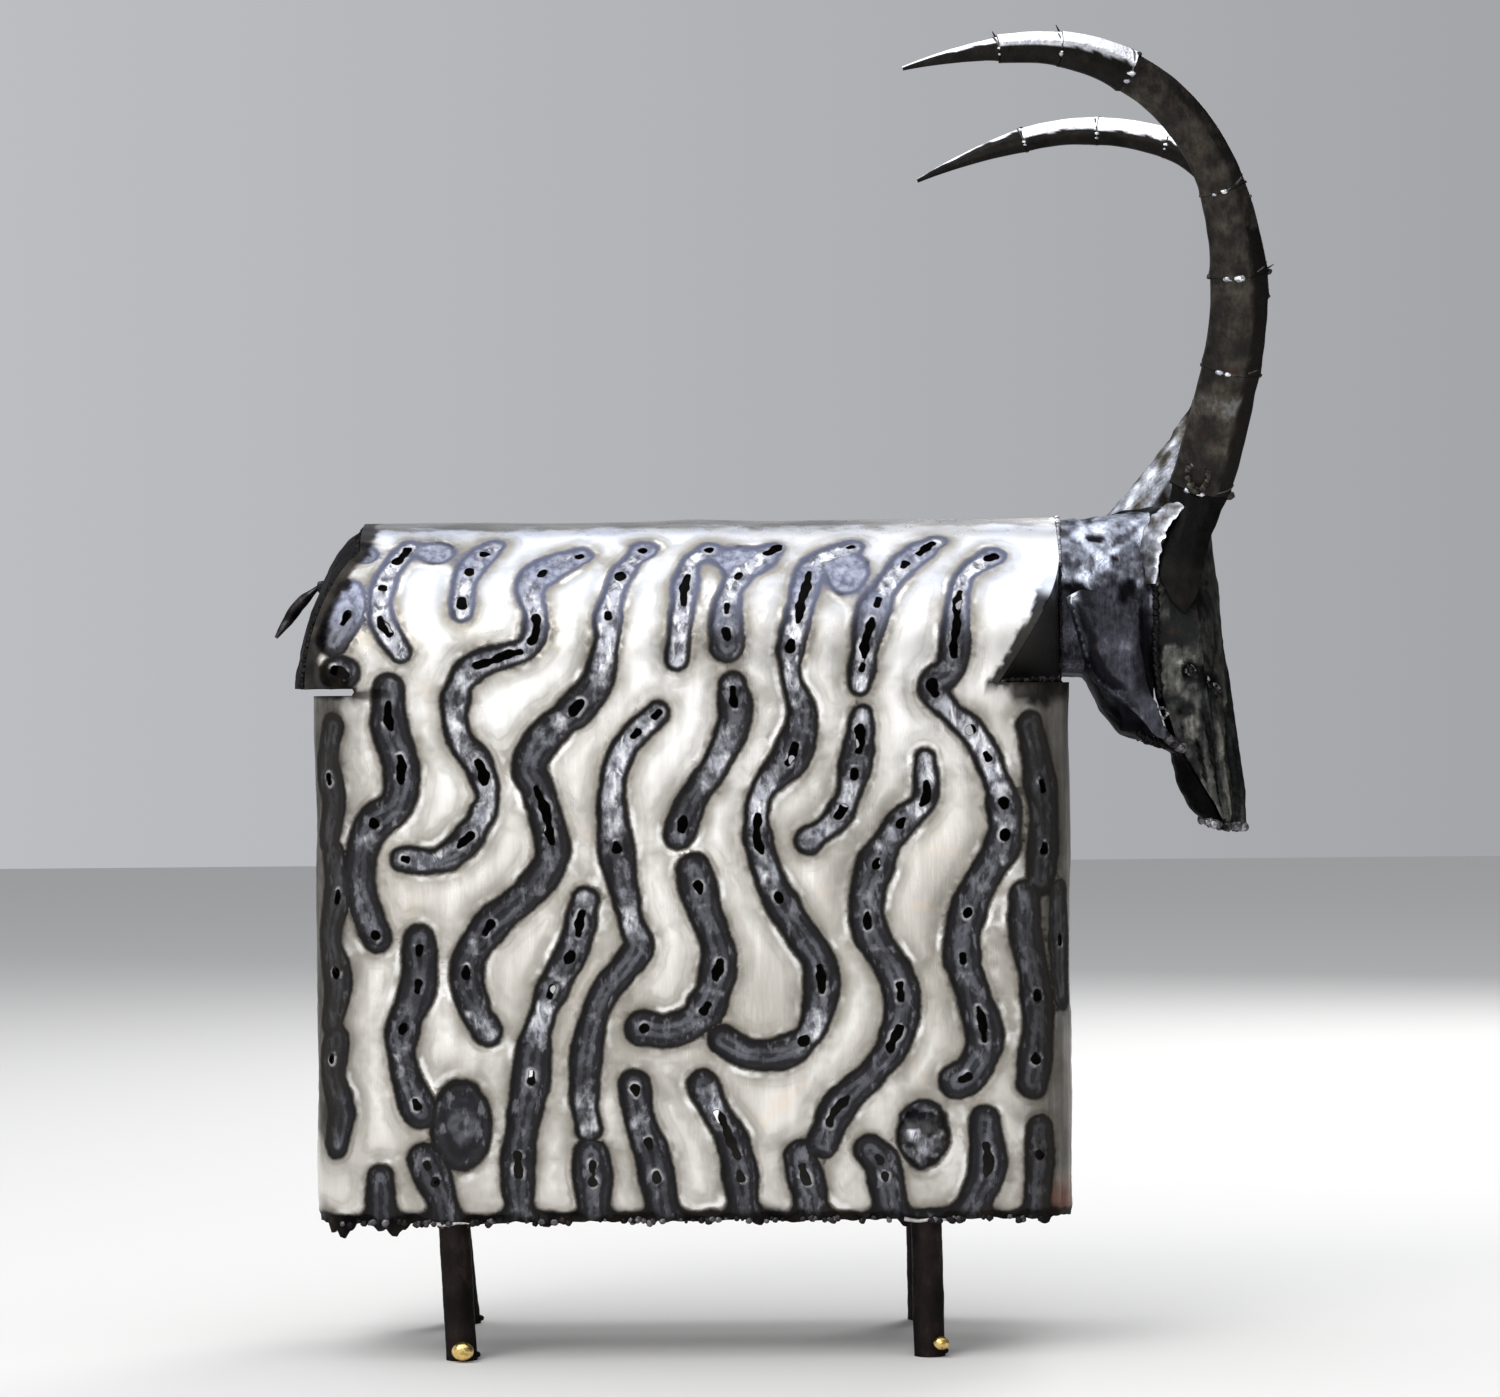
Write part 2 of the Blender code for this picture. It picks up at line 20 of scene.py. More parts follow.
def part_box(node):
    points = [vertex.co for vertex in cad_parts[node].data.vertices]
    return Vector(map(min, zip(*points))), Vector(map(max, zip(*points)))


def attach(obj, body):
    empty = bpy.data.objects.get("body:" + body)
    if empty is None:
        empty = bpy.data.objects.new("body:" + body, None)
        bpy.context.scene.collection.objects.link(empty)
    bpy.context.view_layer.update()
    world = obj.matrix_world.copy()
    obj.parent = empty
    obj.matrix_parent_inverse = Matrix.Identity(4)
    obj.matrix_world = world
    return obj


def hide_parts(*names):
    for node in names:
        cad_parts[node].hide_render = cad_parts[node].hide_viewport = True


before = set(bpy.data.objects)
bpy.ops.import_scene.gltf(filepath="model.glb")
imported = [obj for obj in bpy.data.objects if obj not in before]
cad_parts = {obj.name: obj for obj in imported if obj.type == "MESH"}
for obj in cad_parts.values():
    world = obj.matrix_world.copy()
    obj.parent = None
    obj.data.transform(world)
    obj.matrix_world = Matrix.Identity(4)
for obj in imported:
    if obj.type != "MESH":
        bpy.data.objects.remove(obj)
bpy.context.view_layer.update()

MM = 0.001
SHELL_LOW, SHELL_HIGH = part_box("body_shell")
SHEET = 1.6  # thickness of every bent or cut sheet
GAP = 0.4  # clearance of the CAD model between welded neighbours
HALF_DEPTH = SHELL_HIGH.y / MM
HALF_LENGTH = 152.0
CORNER_R = 22.0
BOTTOM_Z = 59.0
SPRING_Z = 273.5  # where the straight walls end and the half-round top begins
KERF = 3.0
CENTRE_X = SHELL_HIGH.x / MM - HALF_LENGTH
GROUND_Z = BOTTOM_Z - SHELL_LOW.z / MM

FLAT_U = HALF_LENGTH - CORNER_R
CORNER_ARC = CORNER_R * math.pi / 2
END_U = FLAT_U + CORNER_ARC + HALF_DEPTH - CORNER_R  # the middle of the rump or chest wall
RIDGE_T = SPRING_Z + HALF_DEPTH * math.pi / 2
RUMP_EDGE_X, RUMP_SWEEP, RUMP_SWEEP_RATE = -154.5, 20, 1.6  # the rear edge of the half-round top
FOLD_FOOT_X, FOLD_SWEEP, FOLD_SWEEP_RATE = 123, 26, 1.8  # the fold from the top to the chest's facet
MOUTH_X, MOUTH_FOOT_HALF = 150.0, 21.0  # the neck's mouth
TINY = 1e-6
SLIT_U = -(FLAT_U + CORNER_R * math.radians(15))

RANDOM = np.random.default_rng(11)
LATTICE = RANDOM.random((32, 32, 32))


# Small numeric tools


def noise(points, size, shift=0.0):
    """Smooth value noise from -1 to 1 at these points, with features of about this size."""
    scaled = np.asarray(points, float) / size + shift
    if scaled.shape[1] == 2:
        scaled = np.column_stack([scaled, np.full(len(scaled), shift)])
    cell = np.floor(scaled).astype(int)
    t = scaled - cell
    t = t * t * (3 - 2 * t)
    total = np.zeros(len(scaled))
    for step in product((0, 1), repeat=3):
        weight = np.prod(np.where(step, t, 1 - t), axis=1)
        index = (cell + step) % len(LATTICE)
        total += weight * LATTICE[index[:, 0], index[:, 1], index[:, 2]]
    return 2 * total - 1


def smooth_step(value, low, high):
    t = np.clip((value - low) / (high - low), 0, 1)
    return t * t * (3 - 2 * t)


def lerp(a, b, t):
    return a + (b - a) * t


def bell(value, middle, width):
    """1 where value is middle, falling off to both sides."""
    return np.exp(-(((value - middle) / width) ** 2))


def full_turn(count):
    return np.linspace(0, 2 * math.pi, count, endpoint=False)


def arc_lengths(points):
    return np.concatenate([[0], np.cumsum(np.linalg.norm(np.diff(points, axis=0), axis=1))])


def spread(points, count):
    """This many points at even steps along a broken line."""
    arc = arc_lengths(points)
    even = np.linspace(0, arc[-1], count)
    return np.column_stack([np.interp(even, arc, column) for column in points.T])


def resampled(points, step):
    """Points along a broken line at even steps of about this length."""
    points = np.asarray(points, float)
    return spread(points, max(int(round(arc_lengths(points)[-1] / step)), 1) + 1)


def smooth_curve(points, step):
    """Points at even steps along a smooth curve through these (Catmull-Rom)."""
    points = np.asarray(points, float)
    ends = np.vstack([2 * points[0] - points[1], points, 2 * points[-1] - points[-2]])
    made = []
    for a, b, c, d in zip(ends, ends[1:], ends[2:], ends[3:]):
        t = np.linspace(0, 1, 16, endpoint=False)[:, None]
        cubic = (3 * b - a - 3 * c + d) * t**3 + (2 * a - 5 * b + 4 * c - d) * t**2 + (c - a) * t
        made.append(b + cubic / 2)
    return resampled(np.vstack(made + [points[-1:]]), step)


def nearest(tree_points, points):
    """The index of the nearest of tree_points, and the distance to it, for each point."""
    tree = KDTree(len(tree_points))
    for k, point in enumerate(tree_points):
        tree.insert((point[0], point[1], 0.0), k)
    tree.balance()
    found = [tree.find((u, t, 0.0))[1:] for u, t in points]
    index, distance = zip(*found)
    return np.array(index), np.array(distance)


def hex_grid(low, high, step):
    """A jittered triangular grid over a rectangle."""
    rows = np.arange(low[1], high[1], step * math.sqrt(3) / 2)
    columns = np.arange(low[0], high[0], step)
    u, t = np.meshgrid(columns, rows)
    u[1::2] += step / 2
    jitter = RANDOM.uniform(-0.16, 0.16, (u.size, 2)) * step
    return np.column_stack([u.ravel(), t.ravel()]) + jitter


def inside(polygon, points):
    """Whether each point lies inside a closed outline, by the even-odd rule."""
    ahead = np.roll(polygon, -1, axis=0)
    result = np.zeros(len(points), bool)
    for (u0, t0), (u1, t1) in zip(polygon, ahead):
        crosses = (t0 > points[:, 1]) != (t1 > points[:, 1])
        if t0 != t1:
            result ^= crosses & (points[:, 0] < u0 + (points[:, 1] - t0) * (u1 - u0) / (t1 - t0))
    return result


def to_world(points):
    return (np.asarray(points, float) + (CENTRE_X, 0.0, -GROUND_Z)) * MM


def add_mesh(name, points, faces, material, values=None, sharp=40):
    """A mesh object from points in mm. The material reads values, which are numbers for each point."""
    mesh = bpy.data.meshes.new(name)
    mesh.from_pydata(to_world(points).tolist(), [], [list(map(int, face)) for face in faces])
    mesh.validate()
    for key, column in (values or {}).items():
        attribute = mesh.attributes.new(key, "FLOAT", "POINT")
        attribute.data.foreach_set("value", np.asarray(column, np.float32))
    mesh.materials.append(material)
    mesh.shade_smooth()
    mesh.set_sharp_from_angle(angle=math.radians(sharp))
    obj = bpy.data.objects.new(name, mesh)
    bpy.context.scene.collection.objects.link(obj)
    return obj


def finish_piece(obj, slot, *nodes):
    """Ties a finished piece to the frame."""
    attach(obj, "root")
    if nodes:
        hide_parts(*nodes)
    return obj


# Material graphs


class Graph:
    """Short names for building one material's nodes."""

    def __init__(self, name):
        self.material = bpy.data.materials.new(name)
        self.material.use_nodes = True
        self.tree = self.material.node_tree
        self.shader = self.tree.nodes["Principled BSDF"]
        self.place = self.add("ShaderNodeTexCoord").outputs["Object"]

    def add(self, kind, **settings):
        node = self.tree.nodes.new(kind)
        for key, value in settings.items():
            setattr(node, key, value)
        return node

    def put(self, socket, value):
        if isinstance(value, bpy.types.NodeSocket):
            self.tree.links.new(value, socket)
        elif isinstance(value, tuple) and len(value) == 3 and len(socket.default_value) == 4:
            socket.default_value = (*value, 1.0)
        else:
            socket.default_value = value

    def math(self, operation, *values):
        """One operation on numbers or sockets."""
        node = self.add("ShaderNodeMath", operation=operation)
        for socket, value in zip(node.inputs, values):
            self.put(socket, value)
        return node.outputs[0]

    def step(self, value, low, high, out_low=0.0, out_high=1.0):
        """0 to 1, smoothly, as value goes from low to high."""
        node = self.add("ShaderNodeMapRange", interpolation_type="SMOOTHSTEP")
        settings = {"From Min": low, "From Max": high, "To Min": out_low, "To Max": out_high}
        self.put(node.inputs["Value"], value)
        for key, number in settings.items():
            self.put(node.inputs[key], number)
        return node.outputs["Result"]

    def times(self, a, b):
        return self.math("MULTIPLY", a, b)

    def plus(self, a, b):
        return self.math("ADD", a, b)

    def minus(self, a, b):
        return self.math("SUBTRACT", a, b)

    def mix(self, share, a, b):
        """Colour a, turned to colour b by this share."""
        node = self.add("ShaderNodeMix", data_type="RGBA")
        self.put(node.inputs[0], share)
        self.put(node.inputs[6], a)
        self.put(node.inputs[7], b)
        return node.outputs[2]

    def layered(self, colour, layers):
        """A colour with layers of (share, colour) laid over it in turn."""
        for share, over in layers:
            colour = self.mix(share, colour, over)
        return colour

    def ramp(self, value, stops):
        """A colour read from stops of (place, colour)."""
        node = self.add("ShaderNodeValToRGB")
        bands = node.color_ramp.elements
        bands[0].color = (*stops[0][1], 1.0)
        bands[1].color = (*stops[-1][1], 1.0)
        for place, colour in stops[1:-1]:
            bands.new(place).color = (*colour, 1.0)
        self.put(node.inputs["Fac"], value)
        return node.outputs["Color"]

    def attribute(self, name):
        return self.add("ShaderNodeAttribute", attribute_name=name).outputs["Fac"]

    def noise(self, size, detail=3.0, rough=0.55, stretch=(1.0, 1.0, 1.0), bend=0.0):
        """Noise from 0 to 1 with features of this size in mm, drawn out along each axis by stretch."""
        mapping = self.add("ShaderNodeMapping")
        self.put(mapping.inputs["Vector"], self.place)
        mapping.inputs["Scale"].default_value = [1 / (MM * size * s) for s in stretch]
        node = self.add("ShaderNodeTexNoise")
        self.put(node.inputs["Vector"], mapping.outputs[0])
        self.put(node.inputs["Scale"], 1.0)
        self.put(node.inputs["Detail"], detail)
        self.put(node.inputs["Roughness"], rough)
        self.put(node.inputs["Distortion"], bend)
        return node.outputs["Fac"]

    def height(self):
        node = self.add("ShaderNodeSeparateXYZ")
        self.put(node.inputs[0], self.place)
        return node.outputs["Z"]

    def bump(self, height, distance, strength=1.0, under=None):
        node = self.add("ShaderNodeBump")
        self.put(node.inputs["Height"], height)
        self.put(node.inputs["Distance"], distance * MM)
        self.put(node.inputs["Strength"], strength)
        if under is not None:
            self.put(node.inputs["Normal"], under)
        return node.outputs["Normal"]

    def surface(self, colour, roughness, metallic, normal=None, sheen=1.0):
        self.shader.inputs["Specular Tint"].default_value = (sheen, sheen, sheen, 1.0)
        self.put(self.shader.inputs["Base Color"], colour)
        self.put(self.shader.inputs["Roughness"], roughness)
        self.put(self.shader.inputs["Metallic"], metallic)
        if normal is not None:
            self.put(self.shader.inputs["Normal"], normal)
        return self.material


# The flame-cut tracks. Each row: the route's points (u, t), then its slots (u, t, length), or with a width.

SLOT_WIDTH = 3.3
LOWEST_SLOT = 38.0  # above the lower edge, in the plainer tracks, so that the lit floor doesn't show through
TRACK_HALF_WIDTH = 6.7
NEAR_TRACKS = (
    (((-114, 343), (-123.5, 319), (-124, 302), (-116, 288)),
     ((-114, 334.5, 13), (-121.5, 316, 3), (-120, 300, 10))),
    (((-80, 343), (-90, 324), (-92, 305)),
     ((-84, 337, 4), (-90, 326, 5), (-91.5, 309, 6))),
    (((-45, 334), (-60, 324), (-64.5, 315), (-62, 301), (-66, 289), (-86, 282), (-94, 270), (-93, 254),
      (-85, 242), (-82, 228), (-90, 213), (-101, 204.5), (-116, 205)),
     ((-45, 334, 3.5), (-60, 324, 5), (-62, 297, 14), (-77, 284.5, 21), (-85, 239, 11, 4), (-89.5, 211, 9, 3),
      (-115, 205, 3.5))),
    (((-19, 338), (-28, 322), (-33, 303), (-33.5, 292), (-37.5, 275), (-45.5, 265), (-59, 253), (-65, 241),
      (-61.5, 232), (-56, 211), (-58, 201), (-66, 191), (-82, 177), (-90.5, 162), (-88, 145.5), (-82.5, 136)),
     ((-19, 337.5, 3.5), (-28, 321.5, 5), (-33, 302.5, 4), (-45.5, 265, 8), (-59, 222, 25), (-82, 177, 7),
      (-89.5, 159.5, 6))),
    (((-121, 273), (-120.5, 257), (-116, 241), (-118, 227), (-127.5, 219), (-133, 205), (-132.5, 191),
      (-126.5, 173.5)),
     ((-121, 262.5, 12), (-116, 241, 12), (-127.5, 219, 4), (-126, 175, 4))),
    (((-13.5, 262.5), (-22, 254.5), (-28, 246.5), (-32, 232), (-30.5, 209), (-25, 180), (-22.5, 167.5),
      (-36.5, 149.5), (-42.5, 130), (-44, 110.5), (-42.5, 96.5)),
     ((-14, 262, 5), (-22, 254, 5), (-30.5, 209, 5))),
    (((8, 338), (0, 328), (-3, 307), (-5.5, 284)),
     ((8, 337.5, 4), (-2.5, 315, 16))),
    (((34, 339), (19.5, 321.5), (14.5, 305.5), (14.5, 289.5)),
     ((33, 338, 10), (19.5, 321.5, 4.5), (14.5, 305.5, 5, 1.8), (14.5, 294, 6))),
    (((65.5, 340), (50.5, 329), (44, 304.5), (40, 287.5), (40.5, 275), (44.5, 261), (40, 245), (28.5, 231.5),
      (26, 215.5), (31, 195.5), (41, 177), (50, 163), (51, 151), (47, 135), (36.5, 126.5), (22.5, 125.5),
      (11.5, 131.5)),
     ((65, 339.5, 4), (47, 311, 26), (40.5, 289, 6, 3.6), (40, 245.5, 10), (27, 214, 17), (34.5, 188.5, 5),
      (50.5, 155.5, 12), (42.5, 132, 5))),
    (((99.5, 343), (87, 328.5), (75, 308), (70.5, 291), (67.5, 273)),
     ((95, 339, 12), (87, 328, 5), (75, 308, 5), (69.5, 293, 18), (67.5, 280, 4))),
    (((122, 331.5), (111, 321), (107, 304), (104.5, 281), (96.5, 272), (103.5, 262.5), (113.5, 252.5),
      (120.5, 238.5), (125, 222.5), (124, 208.5), (117, 196.5), (110, 182.5), (107.5, 164.5), (112.5, 146.5),
      (116.5, 130.5), (111, 118), (105, 114)),
     ((121.5, 331, 7), (105, 298.5, 30), (97, 271.5, 8, 4.5), (111.5, 254.5, 4), (119, 244.5, 4.5),
      (125, 225, 5), (125, 212.5, 5), (109.5, 181.5, 4.5), (107.5, 163.5, 5), (114, 136.5, 15),
      (108, 116, 6))),
    (((68.5, 261), (66, 243), (62.5, 229), (57, 219), (46.5, 211)),
     ((65.5, 252, 12), (64, 237.5, 5), (59, 222.5, 7))),
    (((16.5, 273.5), (17.5, 259.5), (9.5, 241.5), (0, 227.5), (-5.5, 213.5)),
     ((16.5, 268.5, 9), (-4.5, 218.5, 7))),
    (((93.5, 243), (93, 227), (83, 217), (74, 203), (69.5, 187), (71.5, 173), (80, 159), (83.5, 145),
      (79.5, 129), (70.5, 117), (58, 105), (51, 90)),
     ((93, 229.5, 11), (83.5, 218, 5), (74, 201.5, 5), (71, 179, 7), (81, 150, 8), (80, 131.5, 12),
      (56, 103.5, 15))),
    (((135.5, 256.5), (139.5, 238.5), (142, 218.5), (140, 194.5)), ((141, 232, 6), (141, 207, 5))),
    (((133, 188.5), (133, 174.5), (136.5, 156.5), (138.5, 142.5), (137.5, 126.5), (135.5, 113.5)),
     ((137.5, 148, 5), (136, 123, 5))),
    (((150, 188.5), (152, 148)), ((151, 170, 5),)),
    (((-43, 188), (-47.5, 170), (-57.5, 150), (-63.5, 132), (-66, 112), (-70, 92), (-71, 76), (-70, 59)),
     ((-45.5, 179, 11), (-49.5, 165, 6), (-56, 151, 6), (-65, 117, 6), (-71, 82.5, 11))),
    (((-109.5, 172.5), (-110, 154.5), (-116.5, 136.5), (-116, 120.5), (-110, 104)),
     ((-109.5, 168, 5), (-110.5, 154, 6), (-117, 137, 5), (-111, 107, 5))),
    (((0.5, 199.5), (4, 185.5), (10, 167.5), (8.5, 153.5), (2.5, 141.5), (-9, 135.5), (-20.5, 136.5)),
     ((2.5, 192.5, 6), (9, 159.5, 9), (4, 145, 6), (-20, 136.5, 4))),
    (((-126, 77.5), (-125.5, 58)), ()),
    (((-108, 84.5), (-102, 70.5), (-99, 58)), ((-107, 82, 4), (-102, 76.5, 4))),
    (((-41.5, 86), (-40, 58)), ((-41.5, 81, 5), (-40.5, 75.5, 4))),
    (((-24, 114), (-22, 100), (-17, 85.5), (-14, 69.5), (-12, 58)),
     ((-23, 111.5, 5), (-17.5, 90.5, 5), (-14.5, 77, 5))),
    (((3.5, 113.5), (8, 103.5), (16, 87.5), (20.5, 58)), ((13.5, 94, 22), (18.5, 77, 5))),
    (((42, 85), (45, 73), (48, 58)), ((45, 78, 9),)),
    (((70, 87), (75, 81), (77, 69), (80, 58)), ((74.5, 84, 4.5), (76, 76, 4))),
    (((116, 98.5), (117, 80.5), (113, 68.5), (107, 58)), ((116.5, 83, 14),)),
    (((138.5, 94.5), (138.5, 80.5), (136, 58)), ((138.5, 84, 4),)),
    (((-145, 258), (-149, 243), (-145.5, 228), (-149, 214)), ((-147.5, 237, 5),)),
    (((-146, 207), (-143.5, 191), (-148.5, 174), (-144, 156), (-147.5, 140)),
     ((-144, 190, 6), (-145, 159, 5))),
    (((-145, 133), (-148, 119), (-142.5, 105), (-145, 91)), ((-146.5, 125, 4),)),
    (((-137, 314.5), (-136.5, 308.5), (-139.5, 301), (-143, 293)), ((-138.5, 303, 7, 2.6),)),
    (((-134, 340), (-132, 336)), ()),
    (((-141, 280), (-139, 279.5)), ((-140.5, 279.5, 8, 3.8),)),
)

# Flame-melted webs between neighbouring tracks, and two dark patches: middle (u, t) and half sizes.
# Drops of slag: place along the lower edge and how far each hangs.
WEBS = ((-103, 338, 9, 8), (21, 331, 14, 9), (63, 324, 9.5, 14))
OVAL_SCORCH = (-93.5, 98, 12.8, 19)
GROUND_WELD = (91.5, 93, 11, 14)
SLAG_DROPS = (
    (-148, 4.5), (-143, 6), (-139, 3.5), (-126, 3), (-121, 5), (-117, 3), (-60, 2), (25, 2), (84, 2.5),
    (141, 3),
)


def wandering_tracks(low_u, high_u, top_t, bottom_t, spacing, swing, seed):
    """Plainer tracks of the same kind, side by side, for the sides that the table above doesn't reach."""
    random = np.random.default_rng(seed)
    rows = []
    shared = random.uniform(0, 2 * math.pi)
    for number, middle in enumerate(np.arange(low_u + spacing / 2, high_u, spacing)):
        top = top_t - random.uniform(0, 18)
        phase = shared + 0.35 * number + random.uniform(-0.25, 0.25)
        while top > bottom_t + 24:
            bottom = max(top - random.uniform(50, 150), bottom_t)

            def path(t):
                return middle + swing * (math.sin(t / 17 + phase) + 0.5 * math.sin(t / 39 + 2 * phase))

            count = max(int((top - bottom) / 11), 3)
            route = [(path(t), t) for t in np.linspace(top, bottom, count + 1)]
            slots = []
            at = top - 3
            while at > max(bottom + 4, BOTTOM_Z + LOWEST_SLOT):
                length = random.choice((4, 5, 5, 6, 9, 14))
                slots.append((path(at - length / 2), at - length / 2, length))
                at -= length + random.uniform(9, 24)
            rows.append((route, slots))
            top = bottom - random.uniform(15, 20)
    return rows


def slot_outline(route, arc, middle, length, width, random):
    """The ragged outline of one burnt-through slot, bent along its track."""
    turn = np.linspace(0, 2 * math.pi, 121)
    blunt = 0.45 if length > 2 * width else 0.8
    along = length / 2 * np.sign(np.cos(turn)) * np.abs(np.cos(turn)) ** 0.85
    across = width / 2 * np.sign(np.sin(turn)) * np.abs(np.sin(turn)) ** blunt
    phase = random.uniform(0, 2 * math.pi, 4)
    across *= 1 + 0.2 * np.sin(along / 1.7 + phase[0]) + 0.14 * np.sin(along / 0.8 + phase[1])
    across += 0.45 * np.sin(along / 2.9 + phase[2]) * min(length / 8, 1) + 0.12 * np.sin(3 * turn + phase[3])
    reach = 30.0
    first, last = route[0] - route[1], route[-1] - route[-2]
    first, last = first / np.linalg.norm(first), last / np.linalg.norm(last)
    long_route = np.vstack([route[0] + first * reach, route, route[-1] + last * reach])
    long_arc = np.concatenate([[-reach], arc, [arc[-1] + reach]])
    start = arc[np.argmin(np.linalg.norm(route - middle, axis=1))]

    def at(s):
        return np.column_stack([np.interp(s, long_arc, column) for column in long_route.T])

    ahead = at(start + along + 1) - at(start + along - 1)
    ahead /= np.linalg.norm(ahead, axis=1)[:, None]
    loop = at(start + along) + np.column_stack([-ahead[:, 1], ahead[:, 0]]) * across[:, None]
    loop = resampled(loop, 0.8)[:-1]
    area = np.sum(loop[:, 0] * np.roll(loop[:, 1], -1) - loop[:, 1] * np.roll(loop[:, 0], -1))
    return loop if area > 0 else loop[::-1]


def track_silver(route, line):
    """How bright the melt is along a track: most at the top, least by the floor and round the corners."""
    size, t = np.abs(route[:, 0]), route[:, 1]
    silver = 0.75 * noise(line, 20, 5.5) + 0.25 * noise(line, 6, 9.5)
    silver += 0.5 * smooth_step(t, 150, 260)
    silver += 0.25 * smooth_step(t, 250, 300)
    return silver - (0.5 * (1 - smooth_step(t, 70, 100)) + 0.9 * smooth_step(size, 128, 136))


class Tracks:
    """Every station along one side's tracks, and the outlines of its slots."""

    def __init__(self, rows, seed):
        random = np.random.default_rng(seed)
        stations, halves, silvers, self.slots = [], [], [], []
        for number, (points, slots) in enumerate(rows):
            route = smooth_curve(points, 0.6)
            arc = np.arange(len(route)) * np.linalg.norm(route[1] - route[0])
            line = np.column_stack([arc, np.full(len(arc), 37.0 * number)])
            silver = track_silver(route, line)
            half = TRACK_HALF_WIDTH + 0.8 * noise(line, 26) + 0.4 * noise(line, 8)
            half -= 2.0 * smooth_step(silver, 0.0, 0.8)
            for u, t, length, *width in slots:
                gap = np.linalg.norm(route - (u, t), axis=1)
                half += bell(gap, 0, length / 2 + 4)
                silver -= 0.5 * bell(gap, 0, length / 2 + 2)
                wide = width[0] if width else SLOT_WIDTH + random.uniform(-0.4, 0.5)
                self.slots.append(slot_outline(route, arc, (u, t), length, wide, random))
            stations.append(route)
            halves.append(half)
            silvers.append(silver)
        self.route = np.vstack(stations)
        self.half = np.concatenate(halves)
        self.silver = np.concatenate(silvers)

    def fields(self, points):
        """At each point, the mm outside the nearest track, the share of its half width, and its silver."""
        index, distance = nearest(self.route, points)
        edge = distance - self.half[index] + 0.35 * noise(points, 4.5, 3.1)
        return edge, distance / self.half[index], self.silver[index]


# The sheet


def rump_edge_x(angle):
    return RUMP_EDGE_X + RUMP_SWEEP * (1 - np.cos(np.minimum(RUMP_SWEEP_RATE * angle, math.pi / 2)))


def fold_x(angle):
    return FOLD_FOOT_X + FOLD_SWEEP * np.sin(np.minimum(FOLD_SWEEP_RATE * angle, math.pi / 2))


def sheet_place(points):
    """Where flat points (u, t) of the near side lie on the bent sheet, and the outward direction there."""
    u, t = points[:, 0], points[:, 1]
    size, sign = np.abs(u), np.sign(u)
    turn = np.clip((size - FLAT_U) / CORNER_R, 0, math.pi / 2)
    beyond = np.maximum(size - FLAT_U - CORNER_ARC, 0)
    x = sign * (np.minimum(size, FLAT_U) + CORNER_R * np.sin(turn))
    y = beyond + CORNER_R * (1 - np.cos(turn)) - HALF_DEPTH
    wall = np.column_stack([x, y, t])
    wall_out = np.column_stack([sign * np.sin(turn), -np.cos(turn), 0 * t])
    angle = (t - SPRING_Z) / HALF_DEPTH
    fade = smooth_step(u, -142, SLIT_U) * (1 - smooth_step(t, SPRING_Z, 282))
    bent = CORNER_R * (1 - np.cos(np.clip((-u - FLAT_U) / CORNER_R, 0, math.radians(15))))
    vault_y = bent * fade - HALF_DEPTH * np.cos(angle)
    vault = np.column_stack([u, vault_y, SPRING_Z + HALF_DEPTH * np.sin(angle)])
    vault_out = np.column_stack([0 * u, -np.cos(angle), np.sin(angle)])
    above = ((t > SPRING_Z) | ((t == SPRING_Z) & (u < 0)))[:, None]
    return np.where(above, vault, wall), np.where(above, vault_out, wall_out)


def bottom_t(u, side):
    """The ragged flame-cut lower edge, with drops of slag below it."""
    line = np.column_stack([u, np.full(len(u), 50.0 * side)])
    free = 1 - smooth_step(np.abs(u), END_U - 12, END_U - 3)
    ragged = 0.8 * noise(line, 9) + 0.5 * noise(line, 3)
    drops = sum(fall * np.exp(-(((u - place * side) / 2.4) ** 4)) for place, fall in SLAG_DROPS)
    return BOTTOM_Z + free * (ragged - drops)


FACET_COLUMNS = 24
SHELF_COLUMNS = 10
SHELF_ROWS = 8
FOLD_ROWS = 48


def sheet_outline(side):
    """The flat outline of one half of the sheet, anticlockwise, and which of its edges are free."""
    floor_u = np.linspace(-END_U, END_U, 381)
    floor = np.column_stack([floor_u, bottom_t(floor_u, side)])
    chest = resampled([(END_U, BOTTOM_Z), (END_U, SPRING_Z)], 2.2)
    rim_u = np.linspace(END_U, FOLD_FOOT_X, FACET_COLUMNS + SHELF_COLUMNS + 1)
    rim = np.column_stack([rim_u, np.full(len(rim_u), SPRING_Z)])
    angle = np.linspace(0, math.pi / 2, FOLD_ROWS + 1)
    fold = np.column_stack([fold_x(angle), SPRING_Z + HALF_DEPTH * angle])
    ridge = resampled([(fold[-1, 0], RIDGE_T), (rump_edge_x(math.pi / 2), RIDGE_T)], 2.2)
    angle = np.linspace(math.pi / 2, 0, 55)
    rump = np.column_stack([rump_edge_x(angle), SPRING_Z + HALF_DEPTH * angle])
    slit_top = resampled([(RUMP_EDGE_X, SPRING_Z), (SLIT_U, SPRING_Z)], 1.5)
    slit_end = np.array([(SLIT_U, SPRING_Z), (SLIT_U + 0.9, SPRING_Z - KERF / 2), (SLIT_U, SPRING_Z - KERF)])
    slit_low = resampled([(SLIT_U, SPRING_Z - KERF), (-END_U, SPRING_Z - KERF)], 1.9)
    rear = resampled([(-END_U, SPRING_Z - KERF), (-END_U, BOTTOM_Z)], 2.2)
    parts = ((floor, 1), (chest, 0), (rim, 0), (fold, 0), (ridge, 0), (rump, 1), (slit_top, 1), (slit_end, 1),
             (slit_low, 1), (rear, 0))
    points = np.vstack([part[:-1] for part, _ in parts])
    free = np.concatenate([np.full(len(part) - 1, kind) for part, kind in parts])
    return points, free.astype(bool)


